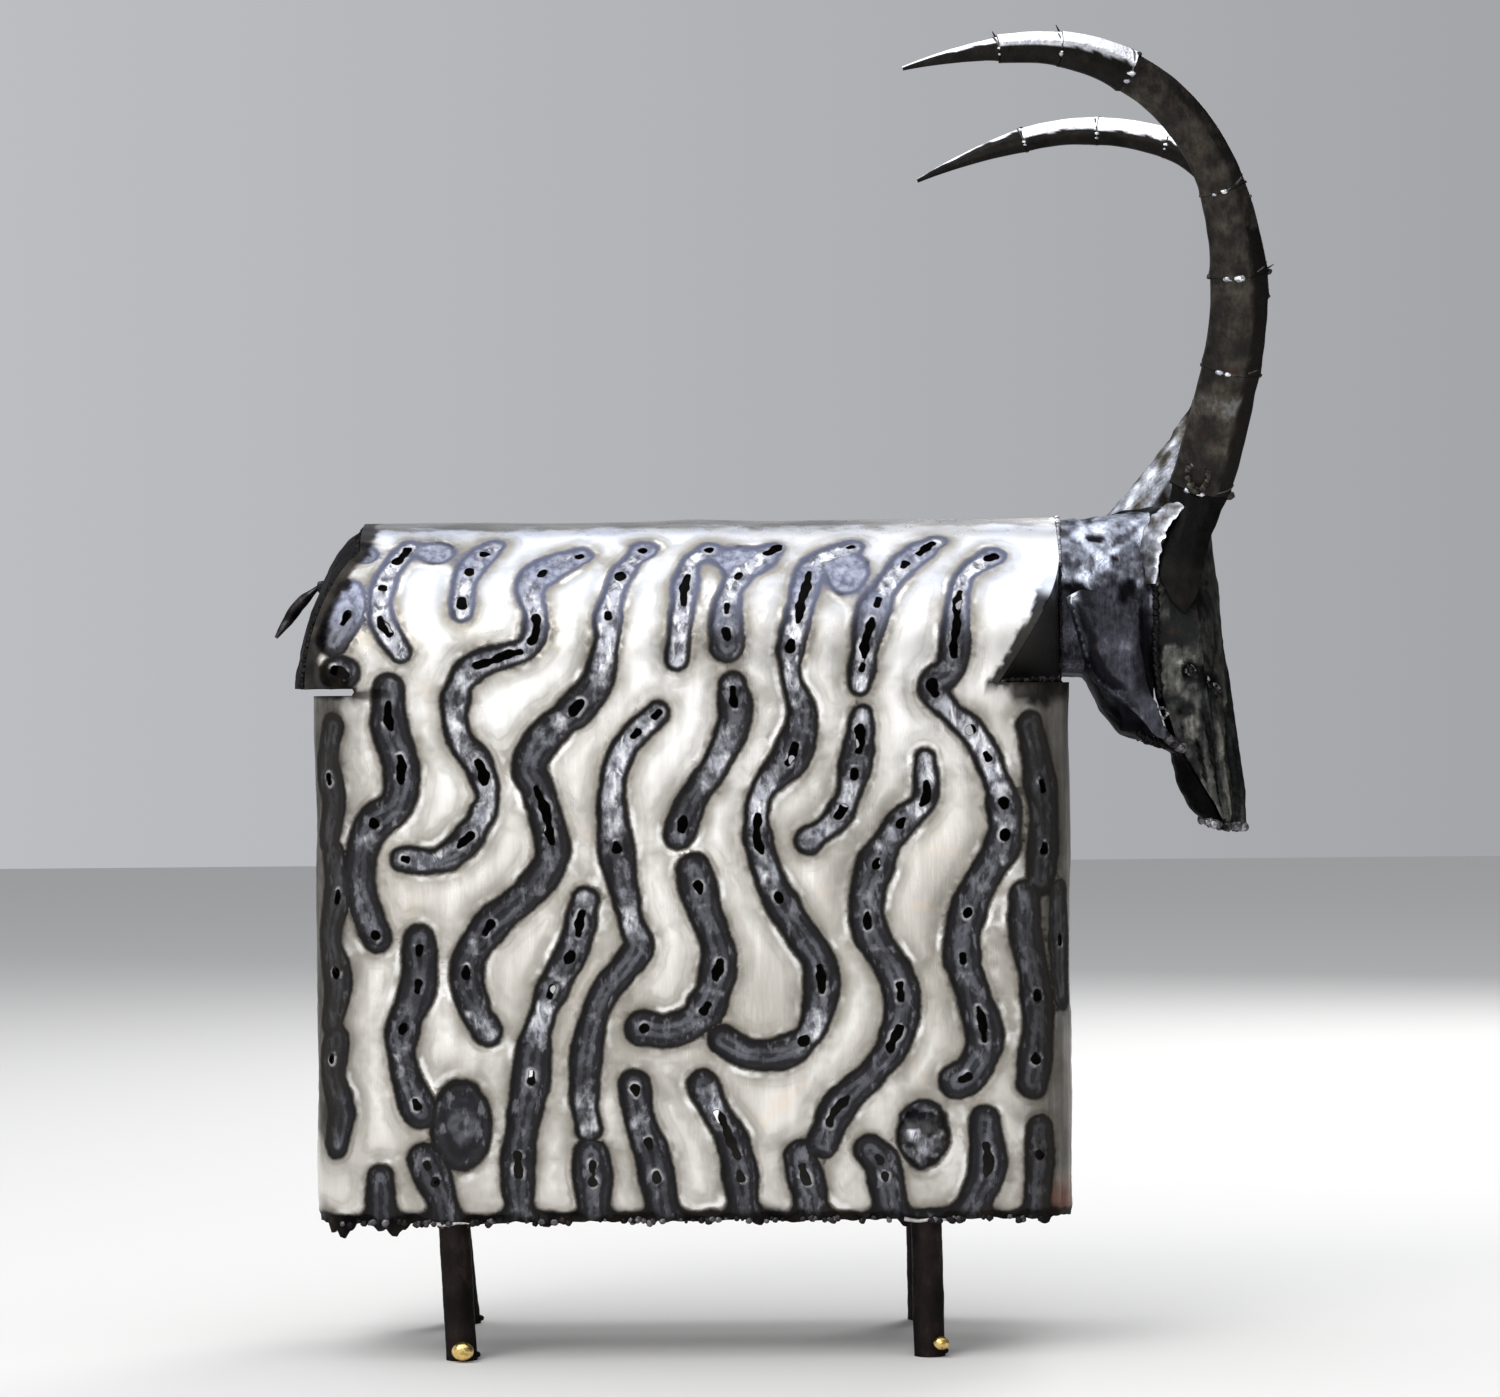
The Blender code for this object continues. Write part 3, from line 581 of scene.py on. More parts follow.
def triangulated(loops, inner_points):
    """Triangles over the first loop, with the others as holes.

    The points are the loops' in order, then the inner ones."""
    points = np.vstack(loops + [inner_points])
    owner = np.full(len(points), -1)
    edges, start = [], 0
    for number, loop in enumerate(loops):
        index = np.arange(start, start + len(loop))
        owner[index] = number
        edges += list(zip(index.tolist(), np.roll(index, -1).tolist()))
        start += len(loop)
    made = delaunay_2d_cdt([Vector(p) for p in points.tolist()], edges, [], 0, TINY)
    if len(made[0]) != len(points):
        raise ValueError(f"the sheet's outlines cross: {len(made[0]) - len(points)} extra points")
    faces = np.array(made[2])
    owners = owner[faces]
    same = (owners[:, 0] >= 0) & (owners[:, 0] == owners[:, 1]) & (owners[:, 1] == owners[:, 2])
    keep = np.ones(len(faces), bool)
    for number in np.unique(owners[same, 0]):
        chosen = np.flatnonzero(same & (owners[:, 0] == number))
        within = inside(loops[number], points[faces[chosen]].mean(axis=1))
        keep[chosen] = within if number == 0 else ~within
    faces = faces[keep]
    a, b, c = (points[faces[:, k]] for k in range(3))
    area = (b[:, 0] - a[:, 0]) * (c[:, 1] - a[:, 1]) - (b[:, 1] - a[:, 1]) * (c[:, 0] - a[:, 0])
    faces[area < 0] = faces[area < 0][:, ::-1]
    return points, faces


def ellipse_field(points, middle_u, middle_t, half_u, half_t):
    """0 at the middle of an ellipse and 1 on its rim."""
    return np.hypot((points[:, 0] - middle_u) / half_u, (points[:, 1] - middle_t) / half_t)


def web_field(points, side):
    """How far outside the nearest flame-melted web each point lies, in mm, negative inside one."""
    if side < 0:
        return np.full(len(points), 99.0)
    ragged = 0.12 * noise(points, 6, 4.2)
    return np.min([(ellipse_field(points, *web) + ragged - 1) * min(web[2:]) for web in WEBS], axis=0)


def oval_field(points):
    return ellipse_field(points, *OVAL_SCORCH) + 0.05 * noise(points, 7, 8.2)


def weld_field(points):
    return ellipse_field(points, *GROUND_WELD) + 0.10 * noise(points, 9, 5.2) + 0.06 * noise(points, 3.5, 2.2)


def scorch_field(points, side):
    """How far outside the two dark patches each point lies, in mm, negative inside one."""
    if side < 0:
        return np.full(len(points), 99.0)
    oval = (oval_field(points) - 1) * OVAL_SCORCH[2]
    return np.minimum(oval, (weld_field(points) - 1) * GROUND_WELD[2])


def rump_gap(points):
    """How far each point of the half-round top lies ahead of its ragged rear edge."""
    angle = np.maximum(points[:, 1] - SPRING_Z, 0) / HALF_DEPTH
    gap = points[:, 0] - rump_edge_x(angle) + 2.0 * noise(points, 5.5, 6.1) + 0.8 * noise(points, 2.2, 3.6)
    return np.where(points[:, 1] > SPRING_Z - 1, gap, 99.0)


def fold_gap(points):
    """How far each point of the half-round top lies behind its fold to the chest."""
    angle = np.clip((points[:, 1] - SPRING_Z) / HALF_DEPTH, 0, math.pi / 2)
    gap = fold_x(angle) - points[:, 0] + 2.2 * noise(points, 7, 2.9) + 1.4 * noise(points, 2.6, 5.1)
    return np.where(points[:, 1] > SPRING_Z - 1, gap, 99.0)


def soot_and_shade_field(points):
    """How black the sheet is: soot along its lower edge, its rear edge, the slit and a patch by it, and
    painted shade by the fold to the chest and just under the chest's shelf.
    """
    u, t = points.T
    ragged = noise(points, 6, 2.9)
    soot_and_shade = 0.9 * (1 - smooth_step(t - BOTTOM_Z + 2.5 * ragged, 1, 5))
    soot_and_shade = np.maximum(soot_and_shade, 1 - smooth_step(rump_gap(points), 5.0, 7.0))
    lips = (np.abs(t - SPRING_Z + KERF / 2) < 2.6) & (u < SLIT_U + 3)
    slit = np.hypot(np.maximum(np.abs(u + 133) - 9, 0) / 2, t - 271) + 0.8 * noise(points, 4, 7.3)
    soot_and_shade = np.maximum(soot_and_shade, np.where(lips, 1.0, 0.85 * (1 - smooth_step(slit, 1.0, 3.4))))
    hole = np.hypot((u + 145) / 10, (t - 276.5) / 6.5) + 0.15 * ragged
    soot_and_shade = np.maximum(soot_and_shade, 1 - smooth_step(hole, 0.85, 1.0))
    # painted shade along the fold from the half-round top to the chest's facet
    low_fold = 1 - smooth_step((t - SPRING_Z) / HALF_DEPTH + 0.05 * ragged, 0.50, 0.68)
    soot_and_shade = np.maximum(soot_and_shade, low_fold * (1 - smooth_step(fold_gap(points), 3.4, 5.0)))
    # painted shadow on the wall just under the chest's shelf
    corner = np.hypot((u - 141) / 19, (t - SPRING_Z) / 9) + 0.2 * ragged
    return np.maximum(soot_and_shade, 0.93 * (1 - smooth_step(corner, 0.85, 1.1)) * (t <= SPRING_Z))


def stain_and_shade_field(points):
    """How brown, dull and dark the sheet is round its corners, from 0 to 1: a brown stain, and painted shade
    where the corners turn from the light.
    """
    u, t = points.T
    ragged = 2.5 * noise(points, 9, 6.8) + 1.2 * noise(points, 3.5, 1.2)
    rear = smooth_step(ragged - u, 139.0, 143.0) * smooth_step(t + 2 * ragged, 86, 98) * (t < SPRING_Z)
    front = 0.85 * smooth_step(u + ragged, 126, 142) * (t < SPRING_Z + 1)
    low = smooth_step(u + ragged, 133, 138) * (1 - smooth_step(t + ragged, 72, 80))
    return np.maximum(np.maximum(rear, front), low) * (1 - smooth_step(np.abs(u), 162, 182))


class Assembly:
    """Points, faces and point values gathered from several patches, welded where they meet."""

    KEYS = ("edge", "rim", "core", "silver", "web_and_painted_sky", "soot_and_shade", "stain_and_shade")

    def __init__(self):
        self.points, self.faces, self.values, self.count = [], [], [], 0

    def add(self, points, values):
        start = self.count
        self.points.append(points)
        self.values.append(np.column_stack([np.broadcast_to(values[key], len(points)) for key in self.KEYS]))
        self.count += len(points)
        return start

    def join(self, faces):
        self.faces += np.asarray(faces).tolist()

    def merged(self):
        points, values = np.vstack(self.points), np.vstack(self.values)
        _, first, index = np.unique(np.round(points, 3), axis=0, return_index=True, return_inverse=True)
        index = index.reshape(-1)
        faces = [[int(index[k]) for k in face] for face in self.faces]
        faces = [face for face in faces if len(set(face)) == len(face)]
        return points[first], faces, {key: values[first, k] for k, key in enumerate(self.KEYS)}


PLAIN = {"edge": 20.0, "rim": 20.0, "core": 3.0, "silver": 0.0, "web_and_painted_sky": 0.0, "soot_and_shade": 0.0, "stain_and_shade": 0.0}


def grid_faces(rows, columns, closed):
    """Quads between rows of points, wrapped round when closed."""
    index = np.arange(rows * columns).reshape(rows, columns)
    ahead = np.roll(index, -1, axis=1)
    if not closed:
        index, ahead = index[:, :-1], ahead[:, :-1]
    corners = (index[:-1], ahead[:-1], ahead[1:], index[1:])
    return np.column_stack([corner.ravel() for corner in corners])


def smooth_union(a, b, reach):
    share = np.clip(0.5 + 0.5 * (b - a) / reach, 0, 1)
    return b + (a - b) * share - reach * share * (1 - share)


def mirrored(points, side):
    return points * (1, side, 1)


def oriented(faces, side):
    """Faces made for the near side, turned round where that side is mirrored to the far one."""
    return faces if side == 1 else np.asarray(faces)[:, ::-1]


def outer_grid(tracks, side, outline, holes, steps):
    """Points for the outer face, closest together in and round the tracks.

    Each of steps is a spacing and the distances from a track's edge, near and far, that it serves."""
    fence = np.vstack([outline] + holes)
    chosen = []
    for step, near, far in steps:
        grid = hex_grid(outline.min(axis=0), outline.max(axis=0), step)
        grid = grid[inside(outline, grid)]
        edges = (tracks.fields(grid)[0], grid[:, 1] - BOTTOM_Z - 7, web_field(grid, side),
                 scorch_field(grid, side), rump_gap(grid) - 7, fold_gap(grid) - 5)
        edge = np.min(edges, axis=0)
        grid = grid[(edge >= near) & (edge < far)]
        grid = grid[nearest(fence, grid)[1] > 0.45 * min(step, 1.6)]
        for loop in holes:
            close = np.all((grid > loop.min(axis=0)) & (grid < loop.max(axis=0)), axis=1)
            close[close] = inside(loop, grid[close])
            grid = grid[~close]
        chosen.append(grid)
    return np.vstack(chosen)


def sheet_values(tracks, side, flat, holes):
    """What the material reads at each point of the outer face, by the assembly's keys."""
    edge, core, silver = tracks.fields(flat)
    wavy = 1.2 * noise(flat, 13, 1.7) + 0.5 * noise(flat, 5, 4.7)
    edge = smooth_union(edge, flat[:, 1] - BOTTOM_Z - 4.0 - 1.3 * wavy, 5.0)
    web = web_field(flat, side)
    # tint of the melted webs, and a painted sky reflection on the tracks of the half-round top
    web_and_painted_sky = (1 - smooth_step(web, -2, 1)) * 0.9
    web_and_painted_sky = np.maximum(web_and_painted_sky, smooth_step(flat[:, 1], 288, 316) * (edge < 6))
    edge = smooth_union(edge, web, 4.0)
    edge = np.minimum(edge, scorch_field(flat, side))
    soot_and_shade, stain_and_shade = soot_and_shade_field(flat), stain_and_shade_field(flat)
    if side > 0:
        oval, weld = oval_field(flat), weld_field(flat)
        core = np.where(oval < 1, oval, np.where(weld < 1, 0.6 * weld, core))
        weld_silver = np.where(weld < 1, 0.22 + 0.6 * noise(flat, 7, 4.4), silver)
        silver = np.where(oval < 1, -1.0, weld_silver)
        swirl = noise(flat, 6.5, 7.7) + 0.5 * noise(flat, 2.6, 1.9)
        soot_and_shade = np.maximum(soot_and_shade, 0.9 * smooth_step(swirl, 0.10, 0.30) * (1 - smooth_step(weld, 0.85, 1.0)))
    rim = nearest(np.vstack(holes), flat)[1]
    return dict(zip(Assembly.KEYS, (edge, rim, core, silver, web_and_painted_sky, soot_and_shade, stain_and_shade)))


def sheet_lift(flat, base, values):
    """How far in mm the outer face stands out: dents, raised lips, and sunken, rippled tracks."""
    edge = values["edge"]
    depth = smooth_step(-edge, 0, 3)
    middle = np.clip(1 - values["core"], 0, 1)
    ripple = 0.12 * np.sin(2.6 * flat[:, 1] + 2 * noise(flat, 6)) * middle
    lift = 0.55 * noise(base, 42) + 0.25 * noise(base, 17) + 0.5 * smooth_step(edge, 0, 9)
    lift += 0.25 * bell(edge, 0.2, 0.8) - 0.75 * depth
    lift += depth * (0.26 * noise(base, 2.4) + 0.30 * middle * noise(base, 4.2))
    lift += depth * (0.5 * bell(values["rim"], 0, 1.2) + ripple)
    return lift * (1 - smooth_step(flat[:, 1], RIDGE_T - 3, RIDGE_T) * 0.9)


def close_halves(points, flat):
    """Puts the points where the two halves meet on the centre plane."""
    meeting = (np.abs(flat[:, 0]) > END_U - TINY) | (flat[:, 1] > RIDGE_T - TINY)
    points[meeting, 1] = 0.0


def add_inner(assembly, side, loops, rim):
    """The plain inner face, painted black as shade. rim is the distance to the nearest slot, first of all for
    the loops' points.
    """
    fence = np.vstack(loops)
    grid = hex_grid(loops[0].min(axis=0), loops[0].max(axis=0), 7.0)
    grid = grid[inside(loops[0], grid)]
    flat, faces = triangulated(loops, grid[nearest(fence, grid)[1] > 2.4])
    base, outward = sheet_place(flat)
    inner = base - outward * SHEET
    shelf = (flat[:, 0] > FOLD_FOOT_X - TINY) & (np.abs(flat[:, 1] - SPRING_Z) < TINY)
    inner[shelf, 2] -= SHEET
    close_halves(inner, flat)
    rim = np.concatenate([rim[: len(fence)], np.full(len(flat) - len(fence), PLAIN["rim"])])
    start = assembly.add(mirrored(inner, side), {**PLAIN, "rim": rim, "soot_and_shade": 1.0})
    assembly.join(oriented(start + faces[:, ::-1], side))
    return inner, start


def add_cut_edges(assembly, side, loops, free, first, second):
    """The sheet's thickness, round every slot and along the free parts of the outline."""
    start = 0
    for number, loop in enumerate(loops):
        index = np.arange(start, start + len(loop))
        ahead = np.roll(index, -1)
        strip = np.column_stack([first + index, first + ahead, second + ahead, second + index])
        strip = strip[free][:, ::-1] if number == 0 else strip
        assembly.join(oriented(strip, side))
        start += len(loop)


def add_half(assembly, tracks, side, steps):
    """One half of the body: the fine outer face, a plain inner face, and the edges between them."""
    outline, free = sheet_outline(side)
    holes = [loop for loop in tracks.slots
             if inside(outline, loop).all() and nearest(outline, loop)[1].min() > 1]
    loops = [outline] + holes
    flat, faces = triangulated(loops, outer_grid(tracks, side, outline, holes, steps))
    base, outward = sheet_place(flat)
    values = sheet_values(tracks, side, flat, holes)
    outer = base + outward * sheet_lift(flat, base, values)[:, None]
    close_halves(outer, flat)
    first = assembly.add(mirrored(outer, side), values)
    assembly.join(oriented(first + faces, side))
    inner, second = add_inner(assembly, side, loops, values["rim"])
    add_cut_edges(assembly, side, loops, free, first, second)
    return outline, outer[: len(outline)], inner[: len(outline)]


def neck_mouth(share):
    """Half the rim of the neck's mouth: a short straight side, then a quarter ellipse up to its top."""
    straight, half, temple_z, top_z = 0.2, 25.0, 290.0, 341.5
    t = np.clip(share / straight, 0, 1)
    angle = np.clip((share - straight) / (1 - straight), 0, 1) * math.pi / 2
    y = np.where(share < straight, lerp(MOUTH_FOOT_HALF, half, t), half * np.cos(angle))
    z = np.where(share < straight, lerp(SPRING_Z, temple_z, t), temple_z + (top_z - temple_z) * np.sin(angle))
    return np.column_stack([np.full(len(share), MOUTH_X), -y, z])


def add_both_faces(assembly, outer, inner, side, soot_and_shade):
    """The two faces of a patch of sheet, from two grids of points, the inner one painted black as shade.
    Returns where each one's points start.
    """
    first = assembly.add(mirrored(outer.reshape(-1, 3), side), {**PLAIN, "soot_and_shade": soot_and_shade})
    second = assembly.add(mirrored(inner.reshape(-1, 3), side), {**PLAIN, "soot_and_shade": 1.0})
    faces = grid_faces(*outer.shape[:2], False)
    assembly.join(oriented(first + faces, side))
    assembly.join(oriented(second + faces[:, ::-1], side))
    return first, second


def add_facet(assembly, outer, inner, start, side):
    """The folded facet from the half-round top to the neck's mouth. Returns its lowest row before denting."""
    fold = np.arange(start, start + FOLD_ROWS + 1)
    shares = np.linspace(0, 1, FOLD_ROWS + 1)
    mouth = neck_mouth(shares)
    mouth[-1, 1] = 0.0
    across = np.linspace(0, 1, FACET_COLUMNS + 1)[None, :, None]
    facet = outer[fold][:, None] * (1 - across) + mouth[:, None] * across
    lowest = facet[0].copy()
    normal = np.cross(np.gradient(facet, axis=1), np.gradient(facet, axis=0))
    normal /= np.linalg.norm(normal, axis=2)[:, :, None] + 1e-9
    points = facet.reshape(-1, 3)
    dents = 0.9 * noise(points, 24, 2.3) + 0.35 * noise(points, 8, 7.7)
    fade = np.sin(math.pi * across[0, :, 0])[None, :] * np.sin(math.pi * np.clip(shares, 0, 1))[:, None]
    facet = facet + normal * (dents.reshape(facet.shape[:2]) * fade)[:, :, None]
    facet[-1, :, 1] = 0.0

    inner_facet = facet - normal * SHEET
    inner_facet[:, 0] = inner[fold]
    inner_facet[0] = lowest - (0, 0, SHEET)
    inner_facet[0, 0] = inner[start]
    inner_facet[-1, :, 1] = 0.0

    height = np.repeat(shares, FACET_COLUMNS + 1)
    height = height + 0.06 * noise(points, 7, 3.3) + 0.03 * noise(points, 3, 1.3)
    # painted shade: the facet's lower part dark, turned away from the light
    soot_and_shade = np.clip(1 - smooth_step(height, 0.36, 0.50), 0, 0.95)
    first, second = add_both_faces(assembly, facet, inner_facet, side, soot_and_shade)
    edge = np.arange(FOLD_ROWS + 1) * (FACET_COLUMNS + 1) + FACET_COLUMNS
    strip = np.column_stack([first + edge[:-1], second + edge[:-1], second + edge[1:], first + edge[1:]])
    assembly.join(oriented(strip, side))
    return lowest


def add_shelf(assembly, outer_rim, inner_rim, lowest, side):
    """The flat shelf between the walls' rim, the facet's foot and the foot of the neck's mouth."""
    foot_y = np.linspace(-MOUTH_FOOT_HALF, 0, SHELF_COLUMNS + 1)[1:]
    foot = np.column_stack([np.full(SHELF_COLUMNS, MOUTH_X), foot_y, np.full(SHELF_COLUMNS, SPRING_Z)])
    line = np.vstack([lowest, foot])
    low_line = line - (0, 0, SHEET)
    low_line[0] = inner_rim[0]
    rows = np.linspace(0, 1, SHELF_ROWS + 1)[:, None, None]
    shelf = outer_rim[None] * (1 - rows) + line[None] * rows
    low_shelf = inner_rim[None] * (1 - rows) + low_line[None] * rows
    # painted shade: the shelf black all over, under the facet
    first, second = add_both_faces(assembly, shelf, low_shelf, side, 1.0)
    front = SHELF_ROWS * len(line) + np.arange(FACET_COLUMNS, len(line))
    strip = np.column_stack([first + front[:-1], first + front[1:], second + front[1:], second + front[:-1]])
    assembly.join(oriented(strip, side))


def add_chest(assembly, outline, outer, inner, side):
    """The folded facet and the shelf that close the chest round the neck's mouth."""
    rim = np.flatnonzero((np.abs(outline[:, 1] - SPRING_Z) < TINY) & (outline[:, 0] > FOLD_FOOT_X - TINY))
    rim = rim[np.argsort(outline[rim, 0])]
    lowest = add_facet(assembly, outer, inner, rim[0], side)
    add_shelf(assembly, outer[rim], inner[rim], lowest, side)


def end_tracks(seed):
    """The plainer tracks of one side's half of the chest, then of the rump."""
    chest = wandering_tracks(165, 207, 262, 58, 21, 3.6, seed)
    return chest + wandering_tracks(-207, -165, 258, 58, 21, 3.6, seed + 1)


def make_body(material):
    near = Tracks(list(NEAR_TRACKS) + end_tracks(3), 5)
    far = Tracks(wandering_tracks(-150, 150, 345, 58, 25, 6.5, 6) + end_tracks(7), 9)
    assembly = Assembly()
    for tracks, side, fine in ((near, 1, 1.4), (far, -1, 2.0)):
        steps = ((fine, -99, 0.9), (2.5, 0.9, 4.0), (4.6, 4.0, 999))
        outline, outer, inner = add_half(assembly, tracks, side, steps)
        add_chest(assembly, outline, outer, inner, side)
    points, faces, values = assembly.merged()
    body = add_mesh("body_sheet", points, faces, material, values, sharp=50)
    return finish_piece(body, "polished_steel", "body_shell")


# Lofts, plates and weld metal


def signed_volume(points, faces):
    """Six times the volume that the faces enclose, negative when they face in."""
    total = 0.0
    for face in faces:
        fan = points[np.array(face)]
        total += np.sum(np.cross(fan[1:-1], fan[2:]) @ fan[0])
    return total


class Body:
    """Closed bodies gathered into one mesh, each turned to face out, with a shade for each point.

    A shade runs from 0, black, through scale to 1, white: soot to clean metal, and in places painted shade
    and painted highlights."""

    def __init__(self):
        self.points, self.faces, self.shade, self.count = [], [], [], 0

    def add(self, points, faces, shade):
        faces = [list(face) for face in faces]
        if signed_volume(points - points.mean(axis=0), faces) < 0:
            faces = [face[::-1] for face in faces]
        self.faces += [[k + self.count for k in face] for face in faces]
        self.points.append(points)
        self.shade.append(np.clip(np.broadcast_to(shade, len(points)), 0, 1))
        self.count += len(points)

    def loft(self, rings, shade):
        """A closed body through rings of equal count, capped at both ends."""
        count, columns = rings.shape[:2]
        size = count * columns
        points = np.vstack([rings.reshape(-1, 3), rings[0].mean(axis=0), rings[-1].mean(axis=0)])
        faces = grid_faces(count, columns, True).tolist()
        last = size - columns
        for k in range(columns):
            after = (k + 1) % columns
            faces.append([size, after, k])
            faces.append([size + 1, last + k, last + after])
        shade = np.broadcast_to(shade, size)
        self.add(points, faces, np.append(shade, [shade[0], shade[-1]]))

    def blob(self, middle, size, shade):
        """A lump of weld metal."""
        middle = np.asarray(middle, float)
        swell = 1 + 0.22 * noise(BALL_POINTS * 3, 1.6, abs(middle.sum()) % 17)
        self.add(BALL_POINTS * np.asarray(size, float) * swell[:, None] + middle, BALL_FACES, shade)

    def wire(self, route, first, last, shade):
        """A thin round strand along a route, from one radius to the other."""
        route = np.asarray(route, float)
        ahead = np.gradient(route, axis=0)
        across = np.cross(ahead, (0.31, -0.83, 0.46))
        across /= np.linalg.norm(across, axis=1)[:, None]
        beside = np.cross(ahead, across)
        beside /= np.linalg.norm(beside, axis=1)[:, None]
        turn = full_turn(8)[None, :, None]
        radius = np.linspace(first, last, len(route))[:, None, None]
        rings = np.cos(turn) * across[:, None] + np.sin(turn) * beside[:, None]
        self.loft(route[:, None] + radius * rings, shade)

    def run(self, route, radius, step, shade, seed):
        """A bead of weld: overlapping lumps along a route."""
        random = np.random.default_rng(seed)
        for place in smooth_curve(route, step):
            size = radius * random.uniform(0.75, 1.25, 3)
            shift = random.uniform(-0.25, 0.25, 3) * radius
            self.blob(place + shift, size, shade * random.uniform(0.5, 1.5))

    def plate(self, grid, closed, shade):
        """A sheet of true thickness from its outer face, with an edge wall wherever it ends."""
        inner = grid - outward_normals(grid, closed) * SHEET
        rows, columns = grid.shape[:2]
        size = rows * columns
        faces = grid_faces(rows, columns, closed).tolist()
        faces += [[k + size for k in face][::-1] for face in faces]
        index = np.arange(size).reshape(rows, columns)
        ends = [(index[0], 1), (index[-1], -1)]
        if closed:
            ends = [(np.append(line, line[0]), turn) for line, turn in ends]
        else:
            ends += [(index[:, 0], -1), (index[:, -1], 1)]
        for line, turn in ends:
            strip = np.column_stack([line[1:], line[:-1], line[:-1] + size, line[1:] + size])
            faces += strip[:, ::turn].tolist()
        points = np.vstack([grid.reshape(-1, 3), inner.reshape(-1, 3)])
        self.add(points, faces, np.append(shade, np.full(size, 0.02)))

    def finish(self, name, material, slot, *nodes, sharp=40):
        values = {"shade": np.concatenate(self.shade)}
        obj = add_mesh(name, np.vstack(self.points), self.faces, material, values, sharp)
        return finish_piece(obj, slot, *nodes)


def ball(detail):
    """The points and faces of a round ball."""
    bm = bmesh.new()
    bmesh.ops.create_icosphere(bm, subdivisions=detail, radius=1.0)
    points = np.array([vert.co for vert in bm.verts])
    faces = [[vert.index for vert in face.verts] for face in bm.faces]
    bm.free()
    return points, faces


BALL_POINTS, BALL_FACES = ball(3)


def outward_normals(grid, closed):
    """The direction away from the grid's middle that is square to it at each point."""
    wide = np.concatenate([grid[:, -2:], grid, grid[:, :2]], axis=1) if closed else grid
    normal = np.cross(np.gradient(wide, axis=1), np.gradient(wide, axis=0))
    normal = normal[:, 2:-2] if closed else normal
    normal = normal / (np.linalg.norm(normal, axis=2)[:, :, None] + 1e-9)
    away = grid - grid.reshape(-1, 3).mean(axis=0)
    return normal if np.sum(normal * away) > 0 else -normal


def lifted(grid, closed, lift):
    """The grid moved out along its normals by lift, one number a point."""
    return grid + outward_normals(grid, closed) * lift.reshape(grid.shape[:2])[:, :, None]


def rounded(points, count, rounds=2):
    """A broken line with its corners cut smooth, at even steps."""
    line = np.asarray(points, float)
    for _ in range(rounds):
        low, high = line[:-1] * 0.75 + line[1:] * 0.25, line[:-1] * 0.25 + line[1:] * 0.75
        cut = np.stack([low, high], axis=1).reshape(-1, line.shape[1])
        line = np.vstack([line[:1], cut, line[-1:]])
    return spread(line, count)


def table_at(rows, keys):
    """Each column of a short table of (key, value, ...) rows, read at these keys."""
    rows = np.asarray(rows, float)
    return [np.interp(keys, rows[:, 0], column) for column in rows.T[1:]]


def smooth_loft(rings, count):
    """More rings through a few, on smooth curves."""
    made = []
    for line in np.asarray(rings, float).transpose(1, 0, 2):
        curve = smooth_curve(line, 0.5)
        even = np.linspace(0, len(curve) - 1, count)
        made.append(np.column_stack([np.interp(even, np.arange(len(curve)), column) for column in curve.T]))
    return np.stack(made, axis=1)


def dented(rings, *waves):
    """Rings with their points moved in and out by waves of noise: (share of the radius, size, shift)."""
    points = rings.reshape(-1, 3)
    swell = 1 + sum(share * noise(points, size, shift) for share, size, shift in waves)
    middle = rings.mean(axis=1, keepdims=True)
    return middle + (rings - middle) * swell.reshape(rings.shape[:2])[:, :, None]


# Head

TEMPLE_Z, SKULL_TOP_Z, MUZZLE_Z = 290.0, 346.0, 212.5
NECK_STATIONS = (  # x, top z, bottom z, half width
    (150.4, 341.5, 274.4, 25.0), (160.5, 342.0, 274.4, 26.0), (167.0, 342.5, 261.0, 26.0),
    (175.0, 343.5, 250.8, 26.0), (182.0, 344.5, 249.0, 25.0), (188.9, 345.0, 247.4, 24.0),
)
NOSE_TOP = (216.0, 333.0)  # x and z at the top of the nose, which slopes forward from there
NOSE_SLOPE = 0.117
FACE_STATIONS = (  # z, x of the back edge, half width, half width of the nose
    (212.5, 219.0, 13.0, 7.5), (222.0, 214.6, 14.5, 7.0), (236.0, 206.0, 17.0, 6.5),
    (249.0, 198.5, 19.2, 6.5), (267.0, 192.8, 21.5, 7.0), (290.0, 189.6, 23.0, 7.5),
    (324.0, 190.2, 23.0, 7.5), (346.0, 194.0, 23.0, 6.0),
)
JAW_STATIONS = (  # z, x of the back, half width
    (215.0, 211.0, 9.0), (220.5, 205.0, 11.5), (231.5, 199.0, 13.5), (243.8, 196.8, 15.0),
    (247.0, 190.8, 15.5), (253.0, 189.8, 15.5),
)
CHEEK_OUTLINE = (  # x and z round the leaf from its curled tip
    (152.8, 308.2), (160.9, 312.3), (170.7, 308.0), (179.7, 299.3), (183.6, 286.0), (185.4, 271.5),
    (191.0, 260.0), (193.8, 249.6), (188.5, 251.0), (183.4, 258.5), (174.8, 265.6), (163.8, 273.0),
    (160.1, 281.7), (156.0, 298.0),
)
CHEEK_Y = 26.4  # the cheeks' inner faces
EYE = (203.7, 278.1)
